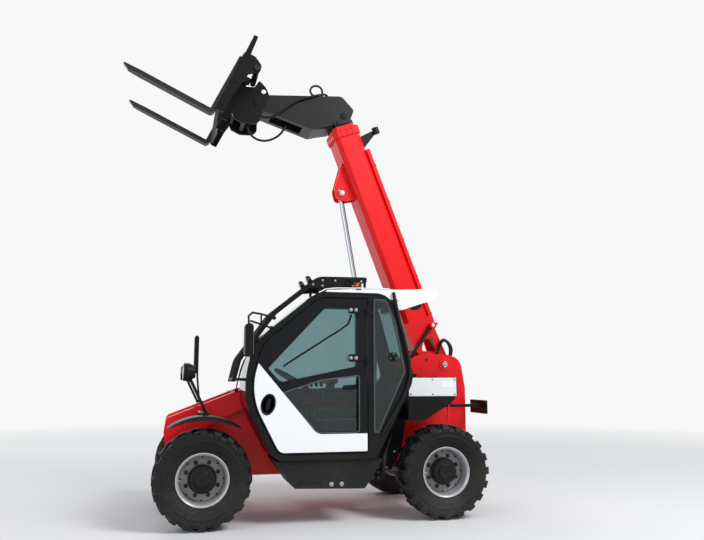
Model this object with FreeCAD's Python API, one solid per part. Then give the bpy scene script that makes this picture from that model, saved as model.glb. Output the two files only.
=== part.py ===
import FreeCAD, Part
import math
import os

# Compact telehandler with its boom raised and its forks tilted back.
# Millimetres. +X is forward, +Y is the cab's side and +Z is up. Pieces are drawn with x = 0 midway
# between the axles, and placed so that the origin lies on the ground under the whole machine.
box_centre_x = 165

# Running gear
wheelbase = 2200
front_x, rear_x = wheelbase / 2, -wheelbase / 2
track = 1500
tyre_radius = 425
tyre_width = 300
tread_width = 276
tread_depth = 24
lugs_per_side = 20
tyre_sides = 24
sidewall_radius = 325
rim_seat_radius = 209
rim_flange_radius = 227
rim_width = 250
rim_wall = 9
hub_radius = 111
spindle_radius = 40
hub_bore_end = 80
kingpin_inset = 150
kingpin_y = track / 2 - kingpin_inset
kingpin_radius = 22
knuckle_half_height = 88
steer_arm = 120
tie_rod_drop = 48
axle_tube_radius = 62
pivot_gap = 0.5

# Frame
plate_inner_y = 258
plate_thick = 25
belly_z = 380
axle_pad_z = 548
deck_z = 1040
boom_pivot_x, boom_pivot_z = -1330, 1418
boom_pin_radius = 35
nose_half_width = 340
boom_slot_half_width = 205
hitch_x, hitch_bore_radius = -1580, 16.5
cover_rear_x = rear_x + 500
hitch_z, hitch_plate, hitch_opening = 640, 16, 66
rear_wall_x = -1545

# Hinges of the engine cover: where each starts along x, and the top of its leaf
cover_hinge_rows = ((cover_rear_x + 150, 1164), (120, 1152))
cover_hinge_radius, cover_hinge_width, cover_pin_radius = 9, 30, 5
cover_hinge_y, cover_hinge_z = -(plate_inner_y + plate_thick + cover_hinge_radius), 1150

# Boom, in its own frame: s runs along the boom from the pivot and n is square to it, upwards
boom_angle = 69
boom_length = 2690
boom_half_width = 165
boom_top_n, boom_bottom_n = 75, -205
boom_chamfer = 40
boom_wall = 10
boom_gap = 10
boom_bore_start = 430
collar_length, collar_proud = 90, 14
tray_end = boom_length - 290
inner_start = boom_bore_start + 20
inner_end = boom_length + 75
neck_plate_thick = 20
carriage_pivot_s, carriage_pivot_n = boom_length + 508, -880

# Fork carriage, in its own frame: a runs along the forks from the carriage's pivot, b is square to it
fork_angle = 25.5
carriage_half_width = 555
fork_y = 480
fork_width = 100
fork_thick = 43
fork_tip_a = 1232
fork_under_b = -459
shank_back_a = 286

# Lift, levelling and tilt cylinders
lift_base_x, lift_base_z = -750, 600
lift_pin_s, lift_pin_n = boom_length - 644, -327
level_base_x, level_base_z, level_y = -550, 930, 212
level_pin_s, level_pin_n = 413, 50
tilt_base_s, tilt_base_n = boom_length + 120, -40
tilt_pin_a, tilt_pin_b = -13, 130

# Cab
cab_inner_y, cab_outer_y = 300, 890
cab_wall = 45
side_frame_width = 50
door_gap = 8
cab_clearance = 8
door_rear_x = -345
hinge_x, hinge_y, hinge_pin_radius = -340, 905, 7
roof_z = 2100
cab_top_z = roof_z - 40
hinge_heights = (1430, cab_top_z - 170)
door_thick = 40
b_pillar_width = 62
glass_thick = 5
glass_lap = 14
# One row per corner of the cab's side outline: x, z, corner radius
cab_outline = [
    (118, cab_top_z, 200), (660, 1620, 400), (797, 1143, 640), (494, 565, 150),
    (-428, 565, 70), (-796, 1276, 250), (-580, cab_top_z, 200),
]

V = FreeCAD.Vector


def box(x0, x1, y0, y1, z0, z1):
    return Part.makeBox(x1 - x0, y1 - y0, z1 - z0, V(x0, y0, z0))


def rod(start, end, radius):
    a, b = V(*start), V(*end)
    return Part.makeCylinder(radius, (b - a).Length, a, b - a)


def cross_rod(x, z, y0, y1, radius):
    return Part.makeCylinder(radius, y1 - y0, V(x, y0, z), V(0, 1, 0))


def rounded_wire(rows, y):
    """Closed outline in the plane at y; each row is x, z and the corner's radius."""
    tangents = []
    for i, (x, z, radius) in enumerate(rows):
        here = V(x, y, z)
        to_last = V(rows[i - 1][0], y, rows[i - 1][1]) - here
        following = rows[(i + 1) % len(rows)]
        to_next = V(following[0], y, following[1]) - here
        half = to_last.getAngle(to_next) / 2
        to_last.normalize()
        to_next.normalize()
        if radius <= 0:
            tangents.append((here, None, here))
            continue
        reach = radius / math.tan(half)
        middle = to_last + to_next
        middle.normalize()
        crown = here + middle * (radius / math.sin(half) - radius)
        tangents.append((here + to_last * reach, crown, here + to_next * reach))
    edges = []
    for i, (enter, crown, leave) in enumerate(tangents):
        if crown is not None:
            edges.append(Part.Arc(enter, crown, leave).toShape())
        onward = tangents[(i + 1) % len(tangents)][0]
        if (onward - leave).Length > 0.01:
            edges.append(Part.LineSegment(leave, onward).toShape())
    return Part.Wire(edges)


def plate(rows, y0, y1):
    """Flat plate with the outline rows, from y0 to y1."""
    rows = [row if len(row) == 3 else (row[0], row[1], 0) for row in rows]
    return Part.Face(rounded_wire(rows, y0)).extrude(V(0, y1 - y0, 0))


def inset(rows, distance):
    """The outline moved inwards by a distance, with its corner radii kept concentric."""
    area = sum(rows[i - 1][0] * rows[i][1] - rows[i][0] * rows[i - 1][1] for i in range(len(rows)))
    turn = 1 if area > 0 else -1
    lines = []
    for i, row in enumerate(rows):
        end = rows[(i + 1) % len(rows)]
        length = math.hypot(end[0] - row[0], end[1] - row[1])
        dx, dz = (end[0] - row[0]) / length, (end[1] - row[1]) / length
        lines.append((row[0] - turn * dz * distance, row[1] + turn * dx * distance, dx, dz))
    moved = []
    for i, row in enumerate(rows):
        x1, z1, dx1, dz1 = lines[i - 1]
        x2, z2, dx2, dz2 = lines[i]
        cross = dx1 * dz2 - dz1 * dx2
        along = ((x2 - x1) * dz2 - (z2 - z1) * dx2) / cross
        moved.append((x1 + dx1 * along, z1 + dz1 * along, max(row[2] - distance, 10)))
    return moved


def join(pieces):
    whole = pieces[0].fuse(pieces[1:]) if len(pieces) > 1 else pieces[0]
    return whole.removeSplitter()


def both_sides(shape):
    return [shape, shape.mirror(V(0, 0, 0), V(0, 1, 0))]


def on_boom(shape):
    """Turns and moves a piece from the boom's own frame to its place on the machine."""
    placed = shape.copy()
    placed.rotate(V(0, 0, 0), V(0, 1, 0), -boom_angle)
    placed.translate(V(boom_pivot_x, 0, boom_pivot_z))
    return placed


def boom_point(s, n):
    angle = math.radians(boom_angle)
    return (boom_pivot_x + s * math.cos(angle) - n * math.sin(angle),
            boom_pivot_z + s * math.sin(angle) + n * math.cos(angle))


def on_carriage(shape):
    placed = shape.copy()
    placed.rotate(V(0, 0, 0), V(0, 1, 0), -fork_angle)
    x, z = boom_point(carriage_pivot_s, carriage_pivot_n)
    placed.translate(V(x, 0, z))
    return placed


def carriage_point(a, b):
    angle = math.radians(fork_angle)
    x, z = boom_point(carriage_pivot_s, carriage_pivot_n)
    return (x + a * math.cos(angle) - b * math.sin(angle), z + a * math.sin(angle) + b * math.cos(angle))


def save(name, shape):
    placed = shape.copy()
    placed.translate(V(-box_centre_x, 0, 0))
    placed.exportStep("parts/" + name + ".step")


# Wheels, drawn about the wheel's own centre with +Y outboard

def flat(corners):
    return Part.Face(Part.makePolygon(corners + corners[:1]))


def faceted_solid(rings, twisted):
    """Solid of flat facets between rings of equally many corners, with flat ends."""
    faces = [flat(rings[0]), flat(rings[-1])]
    for near, far in zip(rings, rings[1:]):
        for k in range(len(near)):
            following = (k + 1) % len(near)
            quad = [near[k], near[following], far[following], far[k]]
            faces += [flat(quad[:3]), flat([quad[0], quad[2], quad[3]])] if twisted else [flat(quad)]
    solid = Part.Solid(Part.Shell(faces))
    if solid.Volume < 0:
        solid.reverse()
    return solid


def ring_prism(rows, sides, turn=0.0):
    """Faceted round body from rows of y and radius, from one face to the other."""
    angles = [turn + 2 * math.pi * k / sides for k in range(sides)]
    return faceted_solid([[V(radius * math.cos(a), y, radius * math.sin(a)) for a in angles]
                          for y, radius in rows], False)


def lug_ring(y, low, high, turn, share):
    """Corners of one tread row's outline at y: lugs up to radius high on a base of radius low."""
    pitch = 2 * math.pi / lugs_per_side
    corners = []
    for k in range(lugs_per_side):
        middle = (k + turn) * pitch
        for side, radius in ((-1, low), (-1, high), (1, high), (1, low)):
            flank = share + (0.05 if radius == low else 0)
            angle = middle + side * flank * pitch / 2
            corners.append(V(radius * math.cos(angle), y, radius * math.sin(angle)))
    return corners


def make_tyre():
    """Tyre with two staggered rows of hooked lugs over a round carcass."""
    half, tread_half = tyre_width / 2, tread_width / 2
    tread_base = tyre_radius - tread_depth
    bead_y, bead_radius = rim_width / 2 - 12.5, rim_flange_radius + 4
    rows = []
    for side, stagger in ((1, 0.0), (-1, 0.5)):
        # Distance from the middle, base radius, lug radius, turn and width as shares of the lugs' pitch
        sections = [(0, tread_base, tyre_radius, 0.34, 0.4), (68, tread_base, tyre_radius, 0.0, 0.42),
                    (tread_half, tread_base - 6, tyre_radius - 4, -0.04, 0.5)]
        rows.append(faceted_solid([lug_ring(side * y, low, high, turn + stagger, share)
                                   for y, low, high, turn, share in sections], True))
    carcass = ring_prism([(-half, sidewall_radius), (-tread_half, tread_base - 26),
                          (tread_half, tread_base - 26), (half, sidewall_radius)], tyre_sides)
    # The bore is a true fit on the rim's seat and opens beside its flanges
    bore_radius = (rim_seat_radius + 0.4) / math.cos(math.pi / tyre_sides)
    bore = ring_prism([(-half, sidewall_radius), (-bead_y, bead_radius), (-bead_y, bore_radius),
                       (bead_y, bore_radius), (bead_y, bead_radius), (half, sidewall_radius)], tyre_sides)
    return rows[0].fuse([rows[1], carcass]).cut(bore)


def make_rim():
    """Dished steel rim with its planetary hub, one welded and bolted piece."""
    half = rim_width / 2
    inner = rim_seat_radius - rim_wall
    sides = 40
    outer = ring_prism([
        (-half, rim_flange_radius), (-half + 12, rim_flange_radius), (-half + 12.01, rim_seat_radius),
        (half - 12.01, rim_seat_radius), (half - 12, rim_flange_radius), (half, rim_flange_radius),
    ], sides)
    hollow = ring_prism([
        (-half - 1, inner + 8), (-half + 30, inner), (40, inner), (40.01, 120), (52.01, 120),
        (52.02, inner - 4), (78, inner), (half + 1, inner + 8),
    ], sides)
    disc_hollow = ring_prism([(39, inner), (40, inner), (53, 118), (54, 118)], sides)
    rim = outer.cut(hollow).cut(disc_hollow)
    hub = ring_prism([(-50, 78), (20, 78), (26, hub_radius + 12), (56, hub_radius + 12), (62, hub_radius),
                      (92, hub_radius - 4), (98, 66), (116, 60)], 30)
    hub = hub.cut(Part.makeCylinder(spindle_radius + pivot_gap, hub_bore_end + 51, V(0, -51, 0),
                                    V(0, 1, 0)))
    return rim, hub


def make_knuckle(inward):
    """Left knuckle about its kingpin: barrel, flange, spindle and steering arm."""
    barrel = Part.makeCylinder(52, 2 * knuckle_half_height, V(0, 0, -knuckle_half_height))
    kingpin = Part.makeCylinder(kingpin_radius, 2 * knuckle_half_height + 70,
                                V(0, 0, -knuckle_half_height - 35))
    flange = Part.makeCylinder(76, 46, V(0, 46, 0), V(0, 1, 0))
    wheel_offset = track / 2 - kingpin_y
    spindle = Part.makeCylinder(spindle_radius, wheel_offset + hub_bore_end - 25, V(0, 20, 0), V(0, 1, 0))
    arm_reach = inward * steer_arm
    arm = box(min(0, arm_reach), max(0, arm_reach), -24, 24, -36, -14)
    arm_end = Part.makeCylinder(26, 32 - pivot_gap, V(arm_reach, 0, -46 + pivot_gap))
    return join([barrel, kingpin, flange, spindle, arm, arm_end])


def make_axle(axle_x, inward):
    """Axle beam with its differential case, forked ends for the knuckles and pads under the frame."""
    fork_inner = kingpin_y - 85
    tube = Part.makeCylinder(axle_tube_radius, 2 * fork_inner, V(0, -fork_inner, 0), V(0, 1, 0))
    case = Part.makeSphere(128, V(0, -40, 0)).common(box(-200, 200, -140, 60, -125, 125))
    nose = Part.makeCone(95, 48, 190, V(0, -40, 0), V(inward, 0, 0))
    pieces = [tube, case, nose]
    for side in (1, -1):
        web = box(-58, 58, fork_inner - 25, fork_inner, -knuckle_half_height - 30,
                  knuckle_half_height + 30)
        arms = []
        for low in (-knuckle_half_height - 30, knuckle_half_height + 6):
            arms.append(box(-45, 45, fork_inner - 25, kingpin_y, low, low + 24))
            arms.append(Part.makeCylinder(45, 24, V(0, kingpin_y, low)))
        end = join([web] + arms)
        end = end.cut(Part.makeCylinder(kingpin_radius + pivot_gap, 400, V(0, kingpin_y, -200)))
        pad = box(-70, 70, plate_inner_y - 40, plate_inner_y + plate_thick + 40, 30,
                  axle_pad_z - tyre_radius)
        pieces += [end, pad] if side > 0 else [both_sides(end)[1], both_sides(pad)[1]]
    return place_at_axle(join(pieces), axle_x)


def place_at_axle(shape, axle_x):
    placed = shape.copy()
    placed.translate(V(axle_x, 0, tyre_radius))
    return placed


def make_tie_rod(axle_x, inward):
    x = axle_x + inward * steer_arm
    z = tyre_radius - 36
    bar = cross_rod(x, z - tie_rod_drop, -kingpin_y, kingpin_y, 12)
    ends = [Part.makeCylinder(22, 52, V(x, y, z - 62)) for y in (-kingpin_y, kingpin_y)]
    return join([bar] + ends)


def build_running_gear():
    tyre = make_tyre()
    rim, hub = make_rim()
    # Name, x of the axle, and which way the middle of the machine lies from it
    axles = [("front", front_x, -1), ("rear", rear_x, 1)]
    for name, axle_x, inward in axles:
        save(name + "_axle", make_axle(axle_x, inward))
        save(name + "_tie_rod", make_tie_rod(axle_x, inward))
        knuckle = make_knuckle(inward)
        knuckle.translate(V(axle_x, kingpin_y, tyre_radius))
        for side, index in (("left", 0), ("right", 1)):
            save("knuckle_%s_%s" % (name, side), both_sides(knuckle)[index])
            for piece, shape in (("tyre", tyre), ("rim", rim), ("hub", hub)):
                placed = shape.copy()
                placed.translate(V(axle_x, track / 2, tyre_radius))
                save("%s_%s_%s" % (piece, name, side), both_sides(placed)[index])


# Frame, tower and nose

def make_frame_plates():
    """Two side plates, each rising into a tower round the boom's pin."""
    y0, y1 = plate_inner_y, plate_inner_y + plate_thick
    side = plate([
        (-1070, 1395, 0), (-1130, 1470, 90), (-1330, 1530, 180), (-1500, 1475, 130), (-1548, 1180, 200),
        (-1548, 600, 40), (rear_x - 230, axle_pad_z, 40), (rear_x + 230, axle_pad_z, 60),
        (-740, belly_z, 60),
        (700, belly_z, 60), (front_x - 280, axle_pad_z, 60), (front_x + 160, axle_pad_z, 30),
        (front_x + 200, 700, 40),
        (front_x + 160, 900, 60), (640, deck_z, 80), (-900, deck_z, 60), (-1070, 1180, 60),
    ], y0, y1)
    disc = cross_rod(boom_pivot_x, boom_pivot_z, y1 - 1, y1 + 8, 62)
    pin_end = cross_rod(boom_pivot_x, boom_pivot_z, y1 - 1, y1 + 14, boom_pin_radius)
    left, right = both_sides(join([side, disc, pin_end]))
    return [left, join([right] + [cover_hinge(x, top)[0] for x, top in cover_hinge_rows])]


def make_cross_members():
    """Cross plates, pins, tow hitch and engine bed, each standing against the side plates."""
    inner = plate_inner_y
    plates = [
        box(rear_wall_x, rear_wall_x + 30, -inner, inner, 620, 1080),
        box(rear_x - 400, rear_x - 200, -inner, inner, axle_pad_z, axle_pad_z + 25),
        box(-700, 690, -inner, inner, belly_z, belly_z + 16).cut(box(-390, 20, -130, 50, 300, 500)),
        box(front_x + 80, front_x + 150, -inner, inner, axle_pad_z, 700),
        box(rear_x + 50, rear_x + 200, -inner, inner, axle_pad_z, axle_pad_z + 22),
    ]
    pins = [
        cross_rod(boom_pivot_x, boom_pivot_z, -inner, inner, boom_pin_radius),
        cross_rod(lift_base_x, lift_base_z, -inner, inner, 24),
        cross_rod(level_base_x, level_base_z, level_y - 26, inner, 17),
    ]
    hitch_bore = Part.makeCylinder(hitch_bore_radius, 400, V(hitch_x, 0, 500))
    hitch = [box(-1606, rear_wall_x, -48, 48, z, z + hitch_plate).cut(hitch_bore)
             for z in (hitch_z, hitch_z + hitch_opening)]
    bed = [box(cover_rear_x + 40, 330, -700, -inner - plate_thick, 480, 500)]
    for x in (cover_rear_x + 180, 140):
        bed.append(box(x - 30, x + 30, -640, -360, 500, 520))
    return plates + pins + hitch + [join(bed)]


def make_hydraulic_tank():
    """Tank behind the cab and above the rear wheel, with a tapered underside."""
    return plate([(-830, 1285, 20), (-1325, 1290, 20), (-1325, 1120, 10), (-1262, 1040, 20),
                  (-985, 882, 30), (-820, 882, 20)], plate_inner_y + plate_thick, 620)


def beside_cab():
    """Room that the cab needs, with its clearance."""
    return outline_solid(-cab_clearance, cab_inner_y - cab_clearance, cab_outer_y + cab_clearance)


def build_nose():
    """Sloping cheeks each side of the boom's slot, open below, with a deck across the slot."""
    slot, half, skin = boom_slot_half_width, nose_half_width, 12
    outer = [(640, 1196, 30), (748, 1174, 120), (front_x + 321, 916, 60), (front_x + 340, 790, 60),
             (front_x + 310, 610, 30),
             (front_x + 205, 610, 10), (front_x + 205, 700, 0), (640, deck_z + 2, 0)]
    hollow_rows = [(x, z - (80 if i > 3 else 0), r) for i, (x, z, r) in enumerate(inset(outer, skin))]
    cheek = plate(outer, slot, half).cut(plate(hollow_rows, slot + skin, half - skin))
    deck = plate([(front_x + x, z) for x, z in (
        (-40, 850), (230, 790), (305, 700), (295, 630), (283, 630), (291, 704), (223, 779),
        (-40, 838))], -slot, slot)
    left, right = cheek.cut(beside_cab()), both_sides(cheek)[1]
    save("nose_cover", left.fuse([right, deck]).cut(make_frame_plates()))


def build_frame():
    save("frame_plates", Part.makeCompound(make_frame_plates()))
    save("cross_members", Part.makeCompound(make_cross_members()))
    build_nose()
    # Belly tank below the cab, wider at its top
    tank = plate([(483, 560, 10), (-500, 560, 10), (-326, 306, 30), (189 + 120, 325, 30)],
                 plate_inner_y + plate_thick, 860)
    save("belly_tank", tank)
    save("hydraulic_tank", make_hydraulic_tank())
    engine = box(cover_rear_x + 80, 240, -700, -plate_inner_y - plate_thick - 20, 520, 1000)
    save("engine", engine)
    shaft = join([
        rod((front_x - 190, -40, tyre_radius), (rear_x + 190, -40, tyre_radius), 26),
        rod((-330, -40, tyre_radius), (-40, -40, tyre_radius), 70),
    ])
    save("drive_shaft", shaft)


def cover_hinge(x, leaf_top):
    """Hinge of the engine cover: strap with its pin, bored barrel with its leaf, and the strap's notch."""
    y, z, radius, width = cover_hinge_y, cover_hinge_z, cover_hinge_radius, cover_hinge_width
    strap = join([rod((x, y, z), (x + width, y, z), radius), box(x, x + width, y, y + radius,
                                                                 deck_z - 40, z),
                  rod((x, y, z), (x + 2 * width, y, z), cover_pin_radius)])
    start, end = x + width + pivot_gap, x + 2 * width
    barrel = join([rod((start, y, z), (end, y, z), radius), box(start, end, y - 40, y, z - 6, leaf_top)])
    barrel = barrel.cut(rod((x, y, z), (end + 1, y, z), cover_pin_radius + pivot_gap / 2))
    notch = box(x - 6, start, y - 20, y + radius, z - 50, z + 50)
    return strap, barrel, notch


def build_engine_cover():
    """Lifting hood over the engine, hinged along its inner top edge."""
    rear = cover_rear_x
    outline = [(rear + 40, 500, 20), (rear, 1120, 60), (rear + 60, 1175, 60), (250, 1150, 80),
               (460, 1020, 80),
               (330, 500, 20)]
    inner_y, outer_y, skin = -plate_inner_y - plate_thick - 18, -880, 12
    solid = plate(outline, outer_y, inner_y)
    hollow = plate(inset(outline, skin), outer_y + skin, inner_y + 40)
    hollow = hollow.fuse(box(rear + 60, 320, outer_y + skin, inner_y + 40, 480, 560))
    cover = solid.cut(hollow).cut(box(rear + 55, 315, outer_y + skin, inner_y + 1, 400, 1000))
    hinges = [cover_hinge(x, top) for x, top in cover_hinge_rows]
    for strap, barrel, notch in hinges:
        cover = cover.cut(notch)
    save("engine_cover", join([cover] + [barrel for strap, barrel, notch in hinges]))


# Boom

def boom_section(grow, chamfer, s0, s1):
    """Eight-sided boom tube's solid, its outside moved outwards by grow."""
    y, top, bottom, c = boom_half_width + grow, boom_top_n + grow, boom_bottom_n - grow, chamfer
    corners = [(-y, bottom + c), (-y + c, bottom), (y - c, bottom), (y, bottom + c),
               (y, top - c), (y - c, top), (-y + c, top), (-y, top - c)]
    points = [V(s0, across, n) for across, n in corners]
    return Part.Face(Part.makePolygon(points + points[:1])).extrude(V(s1 - s0, 0, 0))


def wear_pads(s0, s1, side):
    """Four pads between the two boom tubes, fixed to the outer one (side 1) or the inner one (side -1)."""
    inner, outer = -boom_wall - boom_gap, -boom_wall
    low = inner + (pivot_gap if side > 0 else -1)
    high = outer + (1 if side > 0 else -pivot_gap)
    y, top, bottom = boom_half_width, boom_top_n, boom_bottom_n
    flank = box(s0, s1, y + low, y + high, -135, 5)
    return both_sides(flank) + [
        box(s0, s1, -90, 90, top + low, top + high), box(s0, s1, -90, 90, bottom - high, bottom - low)]


def build_outer_boom():
    c = boom_chamfer
    tube = boom_section(0, c, 300, boom_length)
    collar = boom_section(collar_proud, c + 6, boom_length - collar_length, boom_length)
    bore = boom_section(-boom_wall, c - 4, boom_bore_start, boom_length + 1)
    # Tail plates, cut away by a triangle each side
    tail = plate([(520, boom_top_n, 0), (80, 100, 60), (-95, 100, 80), (-95, -90, 80), (60, -120, 60),
                  (240, boom_bottom_n, 60), (520, boom_bottom_n, 0)], boom_half_width - 28,
                  boom_half_width)
    gap = plate([(470, 38, 15), (205, -140, 20), (135, 20, 20)], boom_half_width - 40, boom_half_width + 1)
    tail = tail.cut(gap)
    # Wear pads in the mouth, a running gap off the inner boom
    pads = wear_pads(boom_length - 80, boom_length - 5, 1)
    pivot_tube = cross_rod(0, 0, -plate_inner_y + 3, plate_inner_y - 3, 62)
    bottom_web = plate([(310, boom_bottom_n + 18, 0), (60, -104, 0), (60, -120, 0),
                        (240, boom_bottom_n, 0),
                        (310, boom_bottom_n, 0)], -boom_half_width + 28, boom_half_width - 28)
    top_web = plate([(310, boom_top_n, 0), (80, 98, 0), (40, 98, 0), (40, 84, 0),
                     (310, boom_top_n - 16, 0)],
                    -boom_half_width + 28, boom_half_width - 28)
    ear = plate([(lift_pin_s + s, n, r) for s, n, r in (
        (324, boom_bottom_n + 5, 0), (64, -388, 60), (-51, -402, 50), (-91, -300, 40),
        (-106, boom_bottom_n + 5, 0))], 48, 68)
    ear_head = cross_rod(lift_pin_s, lift_pin_n, 68, 76, 34)
    level_boss = cross_rod(level_pin_s, level_pin_n, boom_half_width - 2, level_y - 24, 32)
    # Hose tray along the boom's top left edge
    tray = box(380, tray_end, 88, 158, boom_top_n - 2, boom_top_n + 36)
    tray = tray.cut(box(300, tray_end + 10, 100, 146, boom_top_n, boom_top_n + 26))
    solid = tube.fuse([collar] + both_sides(tail) + [bottom_web, top_web]).cut(bore)
    solid = solid.fuse([pivot_tube, level_boss, tray] + both_sides(ear) + both_sides(ear_head) + pads)
    solid = solid.cut(cross_rod(0, 0, -400, 400, boom_pin_radius + pivot_gap))
    save("outer_boom", on_boom(solid.removeSplitter()))


def build_inner_boom():
    grow = -boom_wall - boom_gap
    tube = boom_section(grow, boom_chamfer - 8, inner_start, inner_end)
    bore = boom_section(grow - boom_wall, boom_chamfer - 12, inner_start - 1, inner_end + 1)
    half = boom_half_width + grow
    # Neck sheets, with one row per corner: s past the outer boom's end, n, corner radius
    def neck_plate(rows, y0, y1):
        return plate([(boom_length + s, n, radius) for s, n, radius in rows], y0, y1)

    side = neck_plate([
        (40, 0, 20), (153, 95, 40), (332, 20, 60), (572, -790, 60), (572, -935, 55), (460, -935, 50),
        (432, -850, 30), (76, -410, 30)], half, half + neck_plate_thick)
    crown = neck_plate([
        (42, 0, 0), (153, 93, 20), (330, 18, 20), (360, -100, 0), (344, -100, 0), (316, 8, 20),
        (153, 75, 20), (55, -5, 0)], -half, half)
    under = neck_plate([
        (42, -190, 0), (58, -190, 0), (93, -402, 0), (436, -832, 0), (424, -844, 0), (77, -411, 0)],
        -half, half)
    window = neck_plate([(110, -510, 0), (210, -450, 0), (420, -720, 0), (320, -790, 0)],
                        -half + 45, half - 45)
    pin = cross_rod(carriage_pivot_s, carriage_pivot_n, -half - neck_plate_thick - 28,
                    half + neck_plate_thick + 28, 28)
    tilt_pin = cross_rod(tilt_base_s, tilt_base_n, -half, half, 20)
    pads = wear_pads(inner_start + 5, inner_start + 105, -1)
    solid = tube.cut(bore).fuse([crown, under.cut(window)] + both_sides(side) + [pin, tilt_pin] + pads)
    save("inner_boom", on_boom(solid.removeSplitter()))


def build_carriage():
    ear_y = boom_half_width - boom_wall - boom_gap + neck_plate_thick + 5
    side = plate([(-95, 28, 60), (-85, -72, 60), (-122, -150, 40), (-100, -210, 40), (20, -272, 40),
                  (125, -272, 30), (170, -225, 10), (170, 92, 10), (90, 132, 15), (77, 224, 15),
                  (-13, 190, 60), (-84, 130, 50)], ear_y, ear_y + 20)
    side = side.cut(cross_rod(0, 0, 0, 400, 28 + pivot_gap))
    ear = plate([(150, 10, 0), (-20, 78, 40), (-62, 128, 40), (-22, 180, 45), (45, 172, 40),
                 (150, 110, 0)],
                48, 68)
    ear_head = cross_rod(tilt_pin_a, tilt_pin_b, 68, 78, 34)
    face = box(135, 170, -ear_y, ear_y, -225, 92)
    foot = cross_rod(30, -225, -ear_y, ear_y, 26)
    discs = both_sides(cross_rod(tilt_pin_a, tilt_pin_b, ear_y + 20, ear_y + 26, 30))
    coupler = join(both_sides(side) + both_sides(ear) + both_sides(ear_head) + discs + [face, foot])
    save("coupler", on_carriage(coupler))

    outer = carriage_half_width
    end_plate = plate([(306, 215, 10), (300, 263, 20), (190, 265, 20), (95, 215, 40), (80, 145, 40),
                       (170, 72, 20), (185, -90, 60), (205, -213, 60), (205, -405, 15), (282, -405, 15),
                       (284, -200, 10)], outer - 20, outer)
    tube = cross_rod(125, 171, ear_y - 22, outer + 12, 30)
    bars = [box(250, 285, -outer + 20, outer - 20, 95, 185), box(250, 285, -outer + 20, outer - 20,
                                                                 -395, -315)]
    strut = box(170, 250, ear_y, ear_y + 20, -330, 185)
    post = plate([(252, 185, 0), (290, 592, 10), (334, 586, 10), (320, 185, 0)], 285, 305)
    carriage = join(both_sides(end_plate) + both_sides(tube) + bars + both_sides(strut) + both_sides(post)
                    + both_sides(box(150, 250, ear_y + 24, ear_y + 44, 110, 185)))
    save("fork_carriage", on_carriage(carriage))

    top_b = fork_under_b + fork_thick
    front_a = shank_back_a + fork_thick
    fork = plate([(shank_back_a, 160, 0), (shank_back_a, fork_under_b, 45),
                  (fork_tip_a - 60, fork_under_b, 0),
                  (fork_tip_a, top_b - 12, 4), (fork_tip_a, top_b, 4), (front_a, top_b, 6),
                  (front_a, 160, 10)],
                 fork_y - fork_width / 2, fork_y + fork_width / 2)
    point = Part.Face(Part.makePolygon([
        V(fork_tip_a - 170, fork_y - 60, fork_under_b - 5),
        V(fork_tip_a + 5, fork_y - 60, fork_under_b - 5),
        V(fork_tip_a + 5, fork_y - 28, fork_under_b - 5),
        V(fork_tip_a - 170, fork_y - 50, fork_under_b - 5),
        V(fork_tip_a - 170, fork_y - 60, fork_under_b - 5)])).extrude(V(0, 0, 60))
    other = point.mirror(V(0, fork_y, 0), V(0, 1, 0))
    hook = box(shank_back_a - 36, shank_back_a + 5, fork_y - 50, fork_y + 50, 185.5, 205)
    shank_top = box(shank_back_a, front_a, fork_y - 50, fork_y + 50, 150, 205)
    fork = fork.cut(point).cut(other).fuse([hook, shank_top]).removeSplitter()
    save("forks", on_carriage(Part.makeCompound(both_sides(fork))))


# Cylinders: each is drawn along +X from its base eye, then turned and moved between its two pins

def cylinder_pair(name, start, end, y, sizes):
    """Barrel and rod of one hydraulic cylinder between two pins in a plane of constant y."""
    length = math.hypot(end[0] - start[0], end[1] - start[1])
    turn = math.degrees(math.atan2(end[1] - start[1], end[0] - start[0]))
    s = sizes
    eye = cross_rod(0, 0, -s["eye_half"], s["eye_half"], s["eye_radius"])
    body = rod((s["eye_radius"] * 0.7, 0, 0), (s["barrel_length"], 0, 0), s["barrel_radius"])
    gland = rod((s["barrel_length"] - 55, 0, 0), (s["barrel_length"], 0, 0), s["barrel_radius"] + 5)
    bore = rod((s["bore_start"], 0, 0), (s["barrel_length"] + 1, 0, 0), s["rod_radius"] + pivot_gap)
    pin_hole = cross_rod(0, 0, -100, 100, s["pin_radius"] + pivot_gap)
    barrel = eye.fuse([body, gland]).cut(bore).cut(pin_hole).removeSplitter()
    stick = rod((s["barrel_length"] - s["rod_inside"], 0, 0), (length - s["rod_eye_radius"] * 0.6, 0, 0),
                s["rod_radius"])
    neck = rod((length - s["rod_eye_radius"] - s["rod_neck"], 0, 0),
               (length - s["rod_eye_radius"] * 0.6, 0, 0),
               s["rod_radius"] + 4)
    rod_eye = cross_rod(length, 0, -s["rod_eye_half"], s["rod_eye_half"], s["rod_eye_radius"])
    for piece, shape in (("barrel", barrel), ("rod", join([stick, neck, rod_eye]))):
        shape.rotate(V(0, 0, 0), V(0, 1, 0), -turn)
        shape.translate(V(start[0], y, start[1]))
        save(name + "_" + piece, shape)


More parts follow.
